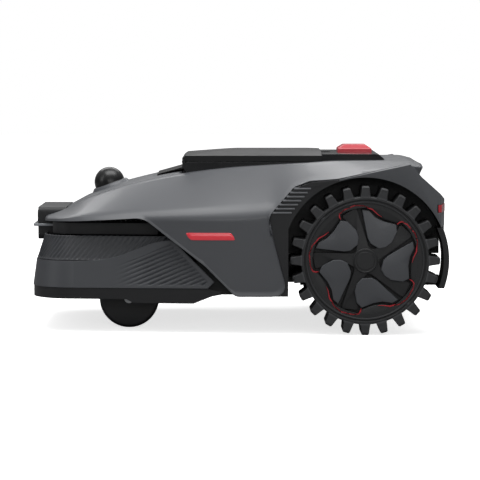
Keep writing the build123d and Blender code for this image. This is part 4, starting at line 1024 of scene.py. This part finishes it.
def make_side_lights():
    """A faceted red lens that stands a little proud of the shell, with rounded ends."""
    top_rear, top_front = Vector((-8, 151)), Vector((-79, 151))
    foot_rear, foot_front = Vector((-1, 139)), Vector((-70, 139))
    # Place up the lens and height over the shell, from its lower edge to its upper edge.
    facets = ((0.0, -1.0), (0.1, 0.5), (0.45, 1.3), (0.62, 0.9), (0.9, 0.5), (1.0, -1.0))
    steps, end_share = 24, 0.06
    for side, sign in SIDES:
        rows = []
        for k in range(steps + 1):
            u = k / steps
            ends = min(1.0, min(u, 1 - u) / end_share)
            bulge = 1 - (1 - ends) ** 2
            top, foot = top_front.lerp(top_rear, u), foot_front.lerp(foot_rear, u)
            row = []
            for v, rise in facets:
                narrow = 0.5 + (v - 0.5) * (0.55 + 0.5 * bulge)
                place = foot.lerp(top, narrow)
                reach = shell_side(place.x, place.y) + rise * bulge - (1 - bulge) * 0.6
                row.append((place.x, sign * reach, place.y))
            rows.append(row)
        mesh = sheet_mesh("side_light", scaled(rows), (0, sign, 0.14))
        piece = finish_mesh("side_light_lens_" + side, mesh, glowing_lens, "chassis",
                            ("side_lights",) if sign < 0 else (), 30)
        thicken(piece, 2.5)


make_vents()
make_rear()
make_side_lights()


# ------------------------------------------------------------------ camera, lidar, pod and button
def dome_mesh():
    """Lidar dome: a hollow polished cap with a bright rolled rim, tilted with the nose."""
    radius, wall, foot, steps, tilt = 23.5, 1.7, -3.6, 18, math.radians(19.5)
    turns = [math.pi / 2 * k / steps for k in range(1, steps)]
    profile = [(radius + 0.4, foot), (radius + 0.7, -2.8), (radius + 0.4, -2.0), (radius, -1.6)]
    profile += [(radius * math.cos(turn), radius * math.sin(turn)) for turn in turns]
    profile += [(0.01, radius), (0.01, radius - wall)]
    profile += [((radius - wall) * math.cos(turn), (radius - wall) * math.sin(turn))
                for turn in reversed(turns)] + [(radius - wall, foot)]
    round_turns = [math.tau * k / 64 for k in range(64)]
    work = bmesh.new()
    loft(work, [[(r * math.cos(turn), r * math.sin(turn), z) for r, z in profile]
                for turn in round_turns], ring=True)
    bmesh.ops.remove_doubles(work, verts=work.verts, dist=0.02)
    mesh = closed_mesh("dome", work)
    mesh.transform(Matrix.Translation((-0.1995, 0, 0.215)) @ Matrix.Rotation(-tilt, 4, "Y"))
    return mesh


def make_top():
    """Lidar, camera, pod with its lid and stop button, and the casters."""
    finish_mesh("lidar_cap", dome_mesh(), dome_black, "chassis", ("lidar_dome",), 40)
    rounded_copy("lidar_base", graphite, 1.0, 3)
    rounded_copy("camera_housing", black_trim, 1.2, 3)
    # Painted highlight: the visor's light grey.
    rounded_copy("camera_visor", visor_highlight_grey, 0.8)
    rounded_copy("top_pod", pod_black, 1.2)
    rounded_copy("control_lid", lid_black, 1.4, 3)
    rounded_copy("stop_button", red_button, 1.4, 3)
    rounded_copy("control_panel", black_trim, 0.5)
    for side, _ in SIDES:
        rounded_copy("caster_wheel_" + side, caster_nylon, 0.8)
        rounded_copy("caster_fork_" + side, caster_nylon, 0.8)


make_top()


# ------------------------------------------------------------------ CAD nodes that stay as they are
paint(chassis_plastic, "chassis_base", "deck_bridge", "deck_carriage", "battery_cover",
      "lidar_core")
paint(gloss_black, "camera_glass", "camera_lenses")
paint(steel, "cover_screws", "blade_disc", "blade_1", "blade_2", "blade_3")
paint(motor_alloy, "gearmotor_left", "gearmotor_right", "blade_motor")
paint(battery_case, "battery_pack")
paint(circuit_board, "main_board")
paint(rubber_key, "key_power", "key_home", "key_start")
for side, _ in SIDES:
    paint(wheel_dark, "rim_" + side)
    paint(steel, "caster_axle_" + side)
